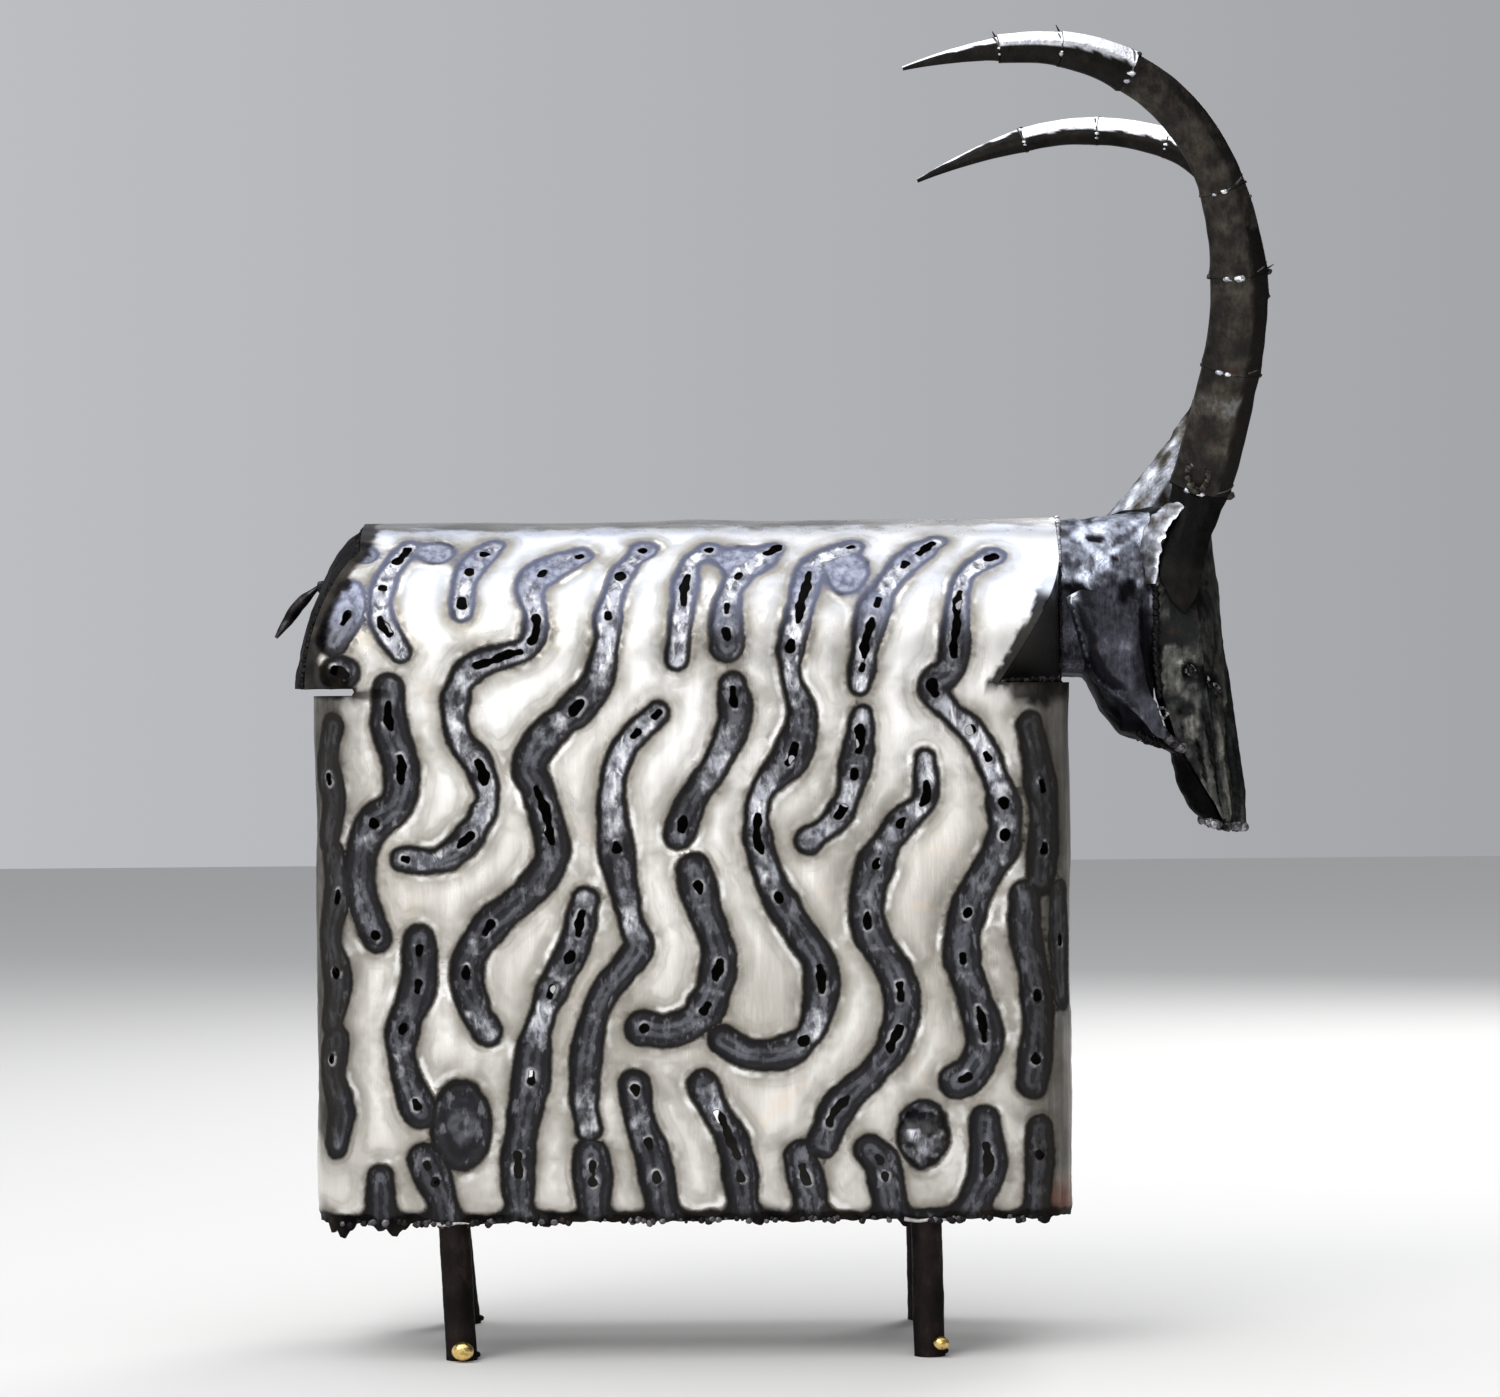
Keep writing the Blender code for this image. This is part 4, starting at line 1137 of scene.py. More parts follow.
# the near-black patches that sink in paint the shade of the head's gaps and grooves
HEAD_PATCHES = (  # x, z, half sizes, tilt in degrees, shade, and how far the plate stands out
    (165.6, 333, 4.4, 2.0, -4, 0.03, -0.6), (173.3, 324.4, 1.6, 1.3, 0, 0.05, -0.4),
    (182.5, 321.5, 8, 5, 0, 0.40, 0.2), (160, 326, 2.2, 6.5, 35, 0.45, -0.3),
    (178, 333.5, 1.6, 5.5, -50, 0.35, -0.3), (158, 311.2, 5.4, 2.2, -15, 0.0, -0.6),
    (170, 308.5, 7, 4, 0, 0.30, 0.2), (179, 311, 3.0, 6, -35, 0.02, -0.5),
    (190.5, 307.5, 2.6, 8, -22, 0.42, 0.3), (184, 303.5, 2, 2, 0, 0.5, 0.2),
    (187, 288, 3.2, 17, 3, 0.02, -0.8), (199, 293, 10, 7, 0, 0.10, 0.0),
    (196.5, 278, 5.4, 11.0, -8, 0.36, 0.9), (211, 303, 4, 20, 5, 0.27, 0.4), (203, 309, 8, 11, 0, 0.08, 0.0),
    (209.5, 275, 9.0, 4.4, -28, 0.03, -0.6), (197, 256, 8, 9, -20, 0.30, 0.2),
    (213.5, 244, 9, 27, 10, 0.29, 0.3), (218, 240, 1.3, 21, 9, 0.42, 0.8),
    (205.5, 254, 1.6, 10, 8, 0.38, 1.0), (211.5, 251, 0.9, 18, 10, 0.05, -0.7),
    (208, 243, 0.8, 12, 12, 0.06, -0.6), (214.8, 236, 0.8, 15, 8, 0.10, -0.5),
    (221.5, 246, 0.9, 20, 8, 0.10, -0.5), (202, 262, 3.2, 3.0, 0, 0.05, -0.5),
    (199, 231, 6.0, 12, -22, 0.03, -0.3), (226.5, 245, 2.2, 40, 7, 0.14, 0.0),
)


def patched(points, base):
    """The near side's shade and relief in mm, from ragged patches, with painted shade underneath and a
    painted lit top, and a plainer far side.
    """
    x, y, z = points.T
    # painted shade on the neck's underside
    under = (1 - smooth_step(z - x, 84, 98)) * (x < 189.2)
    near = lerp(base, 0.02, under) + 0.10 * noise(points, 5, 7.1) * (1 - under)
    ragged = 0.24 * noise(points, 5, 1.3) + 0.22 * noise(points, 2.0, 4.1)
    limit = 192.0 + 0.6 * np.clip(z - 322, 0, 25)
    # painted light: the top of the neck pale as if lit from above, on both sides
    bright = smooth_step(z + 16 * ragged, 311, 318) * (1 - smooth_step(x + 7 * ragged - limit, -2, 2))
    curls = 0.34 * noise(points, 7, 2.9) + 0.20 * noise(points, 3.2, 6.9) + 0.10 * noise(points, 1.6, 3.3)
    near = lerp(near, 0.58 + curls, bright)
    lift = 0.6 * bright * noise(points, 7, 9.1)
    for middle_x, middle_z, half_x, half_z, tilt, shade, out in HEAD_PATCHES:
        tilt = math.radians(tilt)
        ahead, up = x - middle_x, z - middle_z
        across = ahead * math.cos(tilt) + up * math.sin(tilt)
        along = up * math.cos(tilt) - ahead * math.sin(tilt)
        field = np.hypot(across / half_x, along / half_z) + ragged
        near = near * (1 - 0.35 * bell(field, 1.12, 0.12))
        share = 1 - smooth_step(field, 0.82, 1.10)
        near = lerp(near, shade, share)
        lift = lerp(lift, out, share)
    far = lerp(base + 0.05, 0.6, 0.7 * bright) + 0.20 * noise(points, 10, 2.2) + 0.10 * noise(points, 4, 6.2)
    side = smooth_step(y, -4, 4)
    return lerp(near, far, side), lift * (1 - side)


def whole_section(half):
    """Rows of half sections, from the centre plane out to the near side, mirrored into whole ones."""
    return np.concatenate([half[:, :0:-1] * (1, -1, 1), half], axis=1)


def make_neck(material):
    rows = []
    stations = np.linspace(NECK_STATIONS[0][0], NECK_STATIONS[-1][0], 44)
    for x, top, bottom, half in zip(stations, *table_at(NECK_STATIONS, stations)):
        turn = np.linspace(0, math.pi / 2, 22)
        lower = [(0.0, bottom), (0.55 * half, bottom + 2.5), (0.88 * half, bottom + 9.0)]
        upper = [(half * math.cos(a), TEMPLE_Z + (top - TEMPLE_Z) * math.sin(a)) for a in turn]
        rows.append([(x, -abs(y), z) for y, z in rounded(lower + upper, 62, 1)])
    half = np.array(rows)
    tube = np.concatenate([half, half[:, -2:0:-1] * (1, -1, 1)], axis=1)
    flat = tube.reshape(-1, 3)
    shade, lift = patched(flat, 0.30)
    lift += 0.8 * noise(flat, 11, 3.3) + 0.4 * noise(flat, 4.5, 1.9) + 0.2 * noise(flat, 2, 5.5) - 1.0
    body = Body()
    body.plate(lifted(tube, True, lift), True, shade)
    return body.finish("neck_sheet", material, "blued_steel", "neck")


def face_section(z):
    """Half of the face's section at this height, from the ridge of the nose to the back edge."""
    back, half, nose = (column[0] for column in table_at(FACE_STATIONS, [z]))
    rise = np.clip((z - TEMPLE_Z) / (SKULL_TOP_Z - TEMPLE_Z), 0, 1)
    half, nose = half * math.sqrt(1 - rise * rise), nose * math.sqrt(1 - rise * rise)
    front = NOSE_TOP[0] + (NOSE_TOP[1] - z) * NOSE_SLOPE
    nose_side, brow, end = (front - 1.5, nose), (front - 12.0, half), (back, 0.97 * half)
    line = rounded([(front, 0.0), (front - 0.2, 0.5 * nose), nose_side, brow, brow, end], 36)
    return [(x, -y, z) for x, y in line]


def make_face(material):
    """The trough of sheet whose ridge is the nose, with dripping lapped plates and a raised ring eye."""
    low = np.linspace(MUZZLE_Z, TEMPLE_Z, 66)[:-1]
    high = TEMPLE_Z + (SKULL_TOP_Z - TEMPLE_Z) * np.sin(np.linspace(0, math.pi / 2, 40))
    trough = whole_section(np.array([face_section(z) for z in np.concatenate([low, high])]))
    flat = trough.reshape(-1, 3)
    shade, lift = patched(flat, 0.28)
    drips = smooth_step(noise(flat * (1, 1, 0.16), 3.6, 2.7) + 0.3 * noise(flat, 5, 8.8), -0.12, 0.12)
    low_share = 1 - smooth_step(flat[:, 2], 262, 284)
    shade = shade * lerp(1.0, 0.72 + 0.5 * drips, low_share)
    lift += (0.3 + 0.6 * low_share) * drips + 0.5 * noise(flat, 12, 5.9) + 0.2 * noise(flat, 2, 3.9)
    beside = smooth_step(np.abs(flat[:, 1]), 2, 6)
    ring = np.hypot(flat[:, 0] - EYE[0], flat[:, 2] - EYE[1]) * (1 + 0.25 * noise(flat, 4, 3.3))
    lift += beside * (1.4 * bell(ring, 3.6, 1.0) - 1.2 * bell(ring, 0, 1.9))
    fade = smooth_step(SKULL_TOP_Z - flat[:, 2], 0.0, 6.0)
    body = Body()
    body.plate(lifted(trough, False, (lift - 1.5) * fade), False, shade)
    return body.finish("face_sheet", material, "blued_steel", "face")


def make_jaw(material):
    heights = np.linspace(JAW_STATIONS[0][0], JAW_STATIONS[-1][0], 46)
    insides = table_at(FACE_STATIONS, heights)[0] - 1.2
    rows = []
    for z, back, half, inside_x in zip(heights, *table_at(JAW_STATIONS, heights), insides):
        corners = [(back, 0.0), (lerp(back, inside_x, 0.18), 0.6 * half), (inside_x, half)]
        rows.append([(x, -y, z) for x, y in rounded(corners, 20)])
    trough = whole_section(np.array(rows))
    flat = trough.reshape(-1, 3)
    trough = lifted(trough, False, 0.6 * noise(flat, 7, 8.3) + 0.3 * noise(flat, 3, 2.9) - 0.5)
    body = Body()
    # the jaw painted near black, as the shade under the muzzle
    body.plate(trough, False, 0.03 * noise(flat, 6, 2))
    return body.finish("jaw_sheet", material, "blackened_steel", "jaw")


def make_cheek(name, side, material, node):
    """The leaf of plate beside the neck, with a rolled rim along its rear edge and a curled tip."""
    outline = np.array(CHEEK_OUTLINE)
    loop = resampled(rounded(np.vstack([outline, outline[:1]]), 160, 1), 1.0)[:-1]
    grid = hex_grid(loop.min(axis=0), loop.max(axis=0), 1.1)
    grid = grid[inside(loop, grid)]
    grid = grid[nearest(loop, grid)[1] > 0.5]
    flat, faces = triangulated([loop], grid)
    gap = nearest(loop, flat)[1]
    x, z = flat.T
    place = np.column_stack([x, 0 * x, z])
    rear = 1 - smooth_step(x - lerp(153, 186, np.clip((308 - z) / 60, 0, 1)), 1, 6)
    rim = bell(gap, 1.5, 1.0) * rear
    curl = 1 - smooth_step(np.hypot(x - 155, z - 307), 2, 8)
    lift = 1.3 * rim + 1.5 * curl + 0.5 * noise(place, 9, 4.4 + side) + 0.25 * noise(place, 3, 2.4)
    lift = np.clip(lift, 0, 3)
    outer = np.column_stack([x, side * (CHEEK_Y + SHEET + lift), z])
    inner = np.column_stack([x, side * (CHEEK_Y + lift), z])
    count, around = len(flat), np.arange(len(loop))
    ahead = np.roll(around, -1)
    strip = np.column_stack([around, around + count, ahead + count, ahead])
    tip = 1 - smooth_step(np.hypot(x - 154.5, z - 308), 1.5, 6)
    # the rolled rim and the curled tip painted lighter, as highlights
    shade = 0.31 + 0.13 * noise(outer, 7, 3.8) + 0.05 * rim + 0.50 * tip
    band = gap + 1.5 * noise(place, 5, 6.6)
    dark = rear * smooth_step(band, 2.0, 3.0) * (1 - smooth_step(band, 6.0, 7.5)) * (z > 270)
    shade = lerp(shade, 0.06, dark)
    shade = lerp(shade, 0.10, smooth_step(x, 179, 184) * smooth_step(z, 262, 274))
    body = Body()
    faces = faces.tolist() + (faces[:, ::-1] + count).tolist() + strip.tolist()
    body.add(np.vstack([outer, inner]), faces, np.append(shade, np.full(count, 0.05)))
    return body.finish(name, material, "blued_steel", node)


def make_head_welds(material):
    """Lumps, rings and runs of weld where the head's plates meet."""
    runs = (  # route, radius, step, shade
        (((186.5, 25.2, 265), (189, 24.4, 257), (194.5, 21, 250), (201, 18, 246)), 2.1, 2.0, 0.36),
        (((208.5, 17.5, 274.5), (212, 15.0, 272), (216, 11.5, 270)), 1.5, 1.8, 0.38),
        (((202.5, 20.8, 281.5), (205.5, 19.8, 276), (210.5, 17.6, 272), (215.5, 14.5, 268)), 1.1, 1.5, 0.12),
        (((183.5, 20.0, 252.0), (188.0, 19.0, 249.6), (193.5, 17.5, 247.4)), 1.6, 1.5, 0.03),
        # pale, to go on with the neck's painted lit top
        (((189.2, 19.0, 333), (189.2, 22.6, 323), (189.4, 24.2, 314)), 1.6, 1.1, 0.62),
        (((189.5, 24.2, 313), (190, 24.4, 300), (189.6, 23.8, 284), (191, 22.6, 268)), 1.3, 1.2, 0.05),
        (((211, 13.2, 216), (219, 11.6, 213.8), (227, 6.5, 213.2)), 1.8, 1.7, 0.42),
    )
    turn = np.linspace(0, 2 * math.pi, 19)
    rings = ((191.8, 24.0, 260.6, 2.2, 0.5), (204.2, 20.0, 278.0, 2.0, 0.34), (209.6, 17.6, 274.2, 1.8, 0.42),
             (214.4, 14.8, 270.8, 1.5, 0.36))
    body = Body()
    for side in (-1, 1):
        for number, (route, radius, step, shade) in enumerate(runs):
            body.run(np.array(route) * (1, side, 1), radius, step, shade, 20 + 10 * side + number)
        for number, (x, y, z, radius, shade) in enumerate(rings):
            loop = [(x + radius * math.cos(a), side * y, z + radius * math.sin(a)) for a in turn]
            body.run(loop, 0.7, 1.0, shade, 50 + 10 * side + number)
    return body.finish("head_welds", material, "blackened_steel")


def make_seam_welds(material):
    """The weld round the neck's mouth, and the beads along the foot of the chest's folded facets."""
    body = Body()
    for side in (-1, 1):
        mouth = neck_mouth(np.linspace(0, 1, 40)) * (1, -side, 1)
        mouth[:, 0] = 150.8
        # the upper half of the weld painted pale, to go on with the neck's painted lit top
        body.run(mouth[:22], 0.7, 1.2, 0.12, 71 + side)
        body.run(mouth[21:], 1.0, 1.1, 0.75, 75 + side)
        foot = ((124.5, 66.3, 274.2), (134, 50.5, 274.4), (142, 37, 274.4), (149, 24.5, 274.4))
        body.run(np.array(foot) * (1, side, 1), 1.3, 2.0, 0.24, 81 + side)
        random = np.random.default_rng(91 + side)
        for u in random.uniform(-FLAT_U - 12, FLAT_U + 12, 110):
            size = random.uniform(0.5, 1.5) * np.array((1.1, 0.7, 1.0))
            place = sheet_place(np.array([(u, BOTTOM_Z + random.uniform(-0.6, 1.0))]))[0][0] * (1, -side, 1)
            body.blob(place + (0, -0.6 * side, 0), size, random.uniform(0.02, 0.45))
    return body.finish("seam_welds", material, "blackened_steel")


# Horns

HORN_SIDES = 8
HORN_FLATNESS = 0.82
HORN_GAP = 0.3  # how far each section stops short of its seam
NEAR_START = ((209.4, -17.0, 353.5), 15.0, 22.0)  # place, lean and splay in degrees
NEAR_SECTIONS = (  # length, lean and splay at the far end, fore-and-aft width at each end
    (51.8, 11.0, 21.0, 24.6, 23.6), (40.0, -5.0, 18.0, 23.2, 22.6), (35.5, -19.0, 15.0, 22.6, 18.6),
    (63.0, -62.0, 13.0, 18.0, 16.0), (29.6, -84.0, 10.0, 16.8, 14.0), (25.1, -97.0, 8.0, 12.8, 11.2),
    (39.2, -107.0, 5.0, 9.0, 1.6),
)
FAR_START = ((223.0, 30.7, 393.2), 28.0, 18.0)
FAR_SECTIONS = (
    (47.2, 3.0, 18.0, 18.4, 17.8), (43.5, -17.0, 17.0, 18.0, 16.0), (39.4, -70.0, 14.0, 15.6, 13.2),
    (31.1, -86.0, 12.0, 12.6, 11.6), (32.3, -104.0, 10.0, 11.4, 10.2), (49.6, -115.5, 8.0, 10.2, 1.6),
)
ROOT_TONGUE = (  # z, middle x, half width, inner and outer distance from the centre plane
    (302.0, 201.0, 1.2, 23.8, 26.0), (308.0, 200.6, 5.5, 23.4, 27.0), (318.0, 200.0, 8.8, 21.0, 27.4),
    (333.0, 203.4, 9.6, 16.0, 27.4), (342.0, 206.2, 10.8, 10.4, 27.0),
)


def facet_ring():
    """Points round an octagon two across its flats, with its folds a little softened."""
    fine = 6  # points along each flat
    turn = 2 * math.pi * (np.arange(HORN_SIDES) + 0.5) / HORN_SIDES
    corners = np.column_stack([np.cos(turn), np.sin(turn)]) / math.cos(math.pi / HORN_SIDES)
    share = np.arange(fine)[None, :, None] / fine
    ring = lerp(corners[:, None], np.roll(corners, -1, axis=0)[:, None], share)
    ring[:, 0] *= 0.98
    return ring.reshape(-1, 2)


OCTAGON = facet_ring()


def horn_axes(lean, splay, side):
    """The horn's own direction here, the outside of its bend, and its sideways axis."""
    lean, splay = math.radians(lean), math.radians(splay)
    flat = math.cos(splay)
    ahead = np.array((math.sin(lean) * flat, side * math.sin(splay), math.cos(lean) * flat))
    outer = np.array((math.cos(lean), 0.0, -math.sin(lean)))
    return ahead, outer, np.cross(ahead, outer)


def horn_ring(middle, lean, splay, side, width):
    _, outer, across = horn_axes(lean, splay, side)
    reach = OCTAGON * width / 2
    return middle + reach[:, :1] * outer + reach[:, 1:] * HORN_FLATNESS * across


def horn_shade(rings, painted_top_glare):
    """Brown scale, with painted shade on the outside of the bend and a painted glare of white on the top
    facets.

    painted_top_glare is how low that painted glare reaches, from 0 to 1."""
    away = rings - rings.mean(axis=1, keepdims=True)
    away = (away / (np.linalg.norm(away, axis=2)[:, :, None] + 1e-9)).reshape(-1, 3)
    points = rings.reshape(-1, 3)
    ragged = 0.12 * noise(points, 4, 2.2)
    shade = 0.17 + 0.09 * noise(points, 8, 4.2) + 0.06 * noise(points, 3, 1.2)
    shade += 0.16 * (1 - smooth_step(np.abs(points[:, 2] - 385) + 3 * noise(points, 7, 3), 2, 6))
    # painted shade on the outside of the bend, which turns away from the light
    shade = lerp(shade, 0.05, smooth_step(away[:, 0] + ragged, 0.42, 0.56) * (points[:, 2] < 455))
    # painted highlight: the top facets white with glare
    if painted_top_glare:
        line = 1 - painted_top_glare + 1.4 * ragged
        shade = lerp(0.35 * shade, 0.97, smooth_step(away[:, 2], line, line + 0.12))
    return shade


def add_seam(body, middle, axes, width, random, spiked):
    """Tack welds round one seam, a thin run of filler along its outside, and on some a spike of wire."""
    ahead, outer, across = axes
    toward = across if across[1] < 0 else -across
    half = width / 2
    for turn, bright in ((-8, 0.95), (-30, 0.7), (75, 0.2), (-80, 0.2), (150, 0.3), (205, 0.3)):
        turn = math.radians(turn + random.uniform(-8, 8))
        out = outer * math.sin(turn) + toward * HORN_FLATNESS * math.cos(turn)
        size = half * random.uniform(0.10, 0.17)
        body.blob(middle + out * half, (size * 1.2, size, size * 0.8), bright)
    turn = np.radians(np.linspace(0, 82, 12))[:, None]
    seam = middle + half * (outer * np.sin(turn) + toward * HORN_FLATNESS * np.cos(turn)) * 1.01
    body.wire(seam + ahead * np.linspace(0, 0.35 * half, 12)[:, None], 0.42, 0.42, 0.34)
    if spiked:
        tip = middle + outer * (half + random.uniform(2.5, 4.0)) + ahead * random.uniform(0.5, 2.5)
        body.wire([middle + outer * half * 0.9, tip], 0.6, 0.15, 0.12)


def add_horn(body, start, sections, side, seed, painted_top_glare):
    """Every folded section of one horn from its root up, each its own closed body, with its seam."""
    random = np.random.default_rng(seed)
    middle, lean, splay = np.array(start[0], float), start[1], start[2]
    for number, (length, next_lean, next_splay, first_width, last_width) in enumerate(sections):
        steps = max(int(length / 1.8), 8)
        spiked = side < 0 and number in (2, 5, 6)
        add_seam(body, middle, horn_axes(lean, splay, side), first_width, random, spiked)
        rings = []
        for k in range(steps + 1):
            t = k / steps
            here_lean, here_splay = lerp(lean, next_lean, t), lerp(splay, next_splay, t)
            ahead = horn_axes(here_lean, here_splay, side)[0]
            width = lerp(first_width, last_width, t) * (1 + 0.05 * math.exp(-k / 1.5))
            inset = HORN_GAP / 2 * ((k == 0) - (k == steps))
            rings.append(horn_ring(middle + ahead * inset, here_lean, here_splay, side, width))
            half_lean = lerp(lean, next_lean, t + 0.5 / steps)
            if k < steps:
                middle = middle + horn_axes(half_lean, here_splay, side)[0] * length / steps
        rings = dented(np.array(rings), (0.030, 13, seed), (0.018, 5, seed + 3))
        body.loft(rings, horn_shade(rings, painted_top_glare.get(number, 0)))
        lean, splay = next_lean, next_splay


def make_flap():
    """The pale ragged flap that runs from the neck's sheet up the rear edge of the near horn's tongue,
    painted lighter toward the horn as a highlight on its edge.
    """
    route = smooth_curve((
        (187.8, -26.4, 313.5), (188.0, -26.8, 325.0), (188.8, -27.0, 333.0), (193.2, -26.8, 340.0),
        (200.6, -25.8, 345.8), (205.0, -25.0, 347.5),
    ), 0.8)
    share = np.linspace(0, 1, len(route))
    half = np.interp(share, (0.0, 0.3, 0.5, 0.75, 1.0), (1.6, 3.8, 4.6, 3.4, 0.5))
    half += 0.5 * noise(route, 2.6, 2.4)
    ahead = np.gradient(route, axis=0)
    across = np.cross(ahead, (0.0, -1.0, 0.0))
    across /= np.linalg.norm(across, axis=1)[:, None]
    turn = full_turn(20)[None, :, None]
    rings = route[:, None] + np.cos(turn) * (half[:, None] * across)[:, None] + np.sin(turn) * (0.0, 0.9, 0.0)
    rings = dented(rings, (0.22, 3, 1.9), (0.14, 1.5, 4.3))
    rings[:, :, 1] += 0.8 * half[:, None] * (1 - np.cos(turn[:, :, 0]))
    flat = rings.reshape(-1, 3)
    # painted highlight along the flap's edge toward the horn
    toward_horn = np.broadcast_to(smooth_step(np.cos(turn[:, :, 0]), 0.2, 0.95), rings.shape[:2]).ravel()
    return rings, 0.50 + 0.28 * toward_horn + 0.22 * noise(flat, 4, 5.1) + 0.14 * noise(flat, 1.5, 2.1)


def make_near_horn(material):
    rings = []
    for z, x, half, inner, outer in ROOT_TONGUE:
        middle = np.array((x, -(inner + outer) / 2, z))
        rings.append(middle + OCTAGON[:, :1] * (half, 0, 0) + OCTAGON[:, 1:] * (0, (outer - inner) / 2, 0))
    place, lean, splay = NEAR_START
    rings.append(horn_ring(np.array(place), lean, splay, -1, NEAR_SECTIONS[0][3]))
    root = dented(smooth_loft(rings, 44), (0.05, 8, 3.6), (0.03, 3, 5.6))
    flat = root.reshape(-1, 3)
    body = Body()
    # the root's tongue painted near black, as the shade of the hollow root
    low = 1 - smooth_step(flat[:, 2], 312, 330)
    body.loft(root, 0.01 + 0.04 * low * (1 + noise(flat, 4, 6.4)))
    add_horn(body, NEAR_START, NEAR_SECTIONS, -1, 101, {4: 0.95, 5: 0.95, 6: 0.5})
    swirl = ((203, -27.2, 360), (207, -28.5, 363), (211, -29, 359), (210, -28.5, 353), (205, -28, 351),
             (203, -27.5, 356))
    body.run(swirl, 1.5, 1.5, 0.24, 111)
    body.loft(*make_flap())
    nodes = ["horn_near_root"] + [f"horn_near_{k + 1}" for k in range(len(NEAR_SECTIONS))]
    return body.finish("near_horn", material, "blackened_steel", *nodes, sharp=24)


def roof_z(x, y):
    """The height of the neck's and skull's roof at this place."""
    top, _, half = (column[0] for column in table_at(NECK_STATIONS, [x]))
    top = lerp(top, SKULL_TOP_Z, np.clip((x - 187.0) / 6.0, 0, 1))
    return TEMPLE_Z + (top - TEMPLE_Z) * math.sqrt(max(1 - (y / half) ** 2, 0.0))


def make_far_horn(material):
    place, lean, splay = FAR_START
    top = horn_ring(np.array(place), lean, splay, 1, FAR_SECTIONS[0][3])
    flat = np.array((185.0, 11.0)) + OCTAGON * math.cos(math.pi / HORN_SIDES) * (15.0, 7.0)
    foot = np.array([(x, y, roof_z(x, y) + 1.5) for x, y in flat])
    rings = [foot]
    for share in (0.3, 0.65):
        ring = lerp(foot, top, share)
        middle = ring.mean(axis=0)
        rings.append(middle + (ring - middle) * (1 - 0.16 * math.sin(math.pi * share)))
    root = smooth_loft([*rings, top], 34)
    points = root.reshape(-1, 3)
    streaks = noise(points @ np.array([[1, 0, 0.4], [0, 1, 0], [-0.5, 0, 0.2]]), 3.2, 6.6)
    root = dented(root, (0.07, 7, 1.6), (0.05, 3, 2.6))
    body = Body()
    # painted reflection: the root pale lilac with streaks, darker higher up
    body.loft(root, 0.52 + 0.45 * streaks - 0.4 * smooth_step(points[:, 2], 368, 390))
    add_horn(body, FAR_START, FAR_SECTIONS, 1, 131, {2: 0.9, 3: 1.0, 4: 1.0, 5: 0.3})
    nodes = ["horn_far_root"] + [f"horn_far_{k + 1}" for k in range(len(FAR_SECTIONS))]
    return body.finish("far_horn", material, "blackened_steel", *nodes, sharp=24)


# Legs, beads, rump and tail

LEG_D, LEG_TOP_Z = 12.5, 116.0
LEG_Y = HALF_DEPTH - SHEET - LEG_D / 2 - GAP
LEGS = (  # name, side, x at the wall's edge and at the foot, its bead's distance ahead, height and radius
    ("near_rear", -1, -97.0, -94.5, 1.0, 4.7, 4.4), ("near_front", -1, 92.5, 93.5, 4.5, 6.0, 3.2),
    ("far_rear", 1, -105.0, -99.5, 1.0, 4.6, 4.2), ("far_front", 1, 94.5, 94.5, 3.0, 4.4, 3.6),
)


def make_leg(name, side, edge_x, foot_x, material):
    """A round bar with hammered scale, a torn weld collar under the wall and a burr at its foot."""
    low = np.linspace(GROUND_Z, GROUND_Z + 4, 8)
    heights = np.concatenate([low[:-1], np.linspace(GROUND_Z + 4, LEG_TOP_Z, 74)])
    turn = full_turn(48)
    ring = np.column_stack([np.cos(turn), np.sin(turn), 0 * turn])
    lean = (edge_x - foot_x) / (BOTTOM_Z - GROUND_Z)
    rings = np.array([(foot_x + lean * (z - GROUND_Z), side * LEG_Y, z) + ring * LEG_D / 2 for z in heights])
    rings = dented(rings, (0.035, 9, 2.1), (0.02, 2.6, 5.2))
    body = Body()
    body.loft(rings, 0.12 + 0.12 * noise(rings.reshape(-1, 3), 6, 3.5))
    random = np.random.default_rng(int(abs(foot_x) * 10) + side)
    reach = LEG_D / 2 + 0.2
    for turn in random.uniform(0, 2 * math.pi, 11):
        x, y = edge_x + reach * math.cos(turn), side * LEG_Y + reach * 0.8 * math.sin(turn)
        place = (x, y, BOTTOM_Z + random.uniform(-1, 5))
        body.blob(place, random.uniform(0.8, 2.0, 3), random.uniform(0.05, 0.6))
    burr = (foot_x + LEG_D / 2 - 0.6, side * LEG_Y, GROUND_Z + 1.9)
    body.blob(burr, (2.0, 2.6, 1.4), 0.08)
    if side < 0:
        offsets = ((-9, 0.2), (-3, -0.6), (3, 0.1), (8, -0.4))
        torn = [(edge_x + dx, side * (LEG_Y + 7.2), BOTTOM_Z + dz) for dx, dz in offsets]
        body.wire(smooth_curve(torn, 1.0), 0.9, 0.5, 0.75)
    return body.finish(f"leg_{name}_bar", material, "black_bar", f"leg_{name}")


def make_bead(name, side, foot_x, ahead, height, radius, material):
    """A drop of braze with a wetted skirt against its bar."""
    reach = LEG_D / 2 + 0.8 * radius + 0.1
    middle = np.array((foot_x + ahead, side * (LEG_Y + math.sqrt(reach**2 - ahead**2)), height + GROUND_Z))
    toward = np.array((foot_x, side * LEG_Y, middle[2])) - middle
    toward /= np.linalg.norm(toward)
    points = BALL_POINTS * (radius, radius * 0.8, radius * 0.85)
    skirt = np.clip(points @ toward / radius, 0, 1)[:, None] ** 2
    points = points * (1 + 0.06 * noise(BALL_POINTS, 0.9, 2.0)[:, None] + 0.22 * skirt) + middle
    points[:, 2] = np.maximum(points[:, 2], GROUND_Z + 0.15)
    body = Body()
    body.add(points, BALL_FACES, 0.7 + 0.3 * noise(points, 3))
    return body.finish(f"brass_bead_{name}", material, "brass", f"braze_bead_{name}")


RUMP_BULGE_X, RUMP_BULGE_SWEEP, RUMP_BULGE_POWER = -163.0, 30.0, 0.75  # the dish's middle line


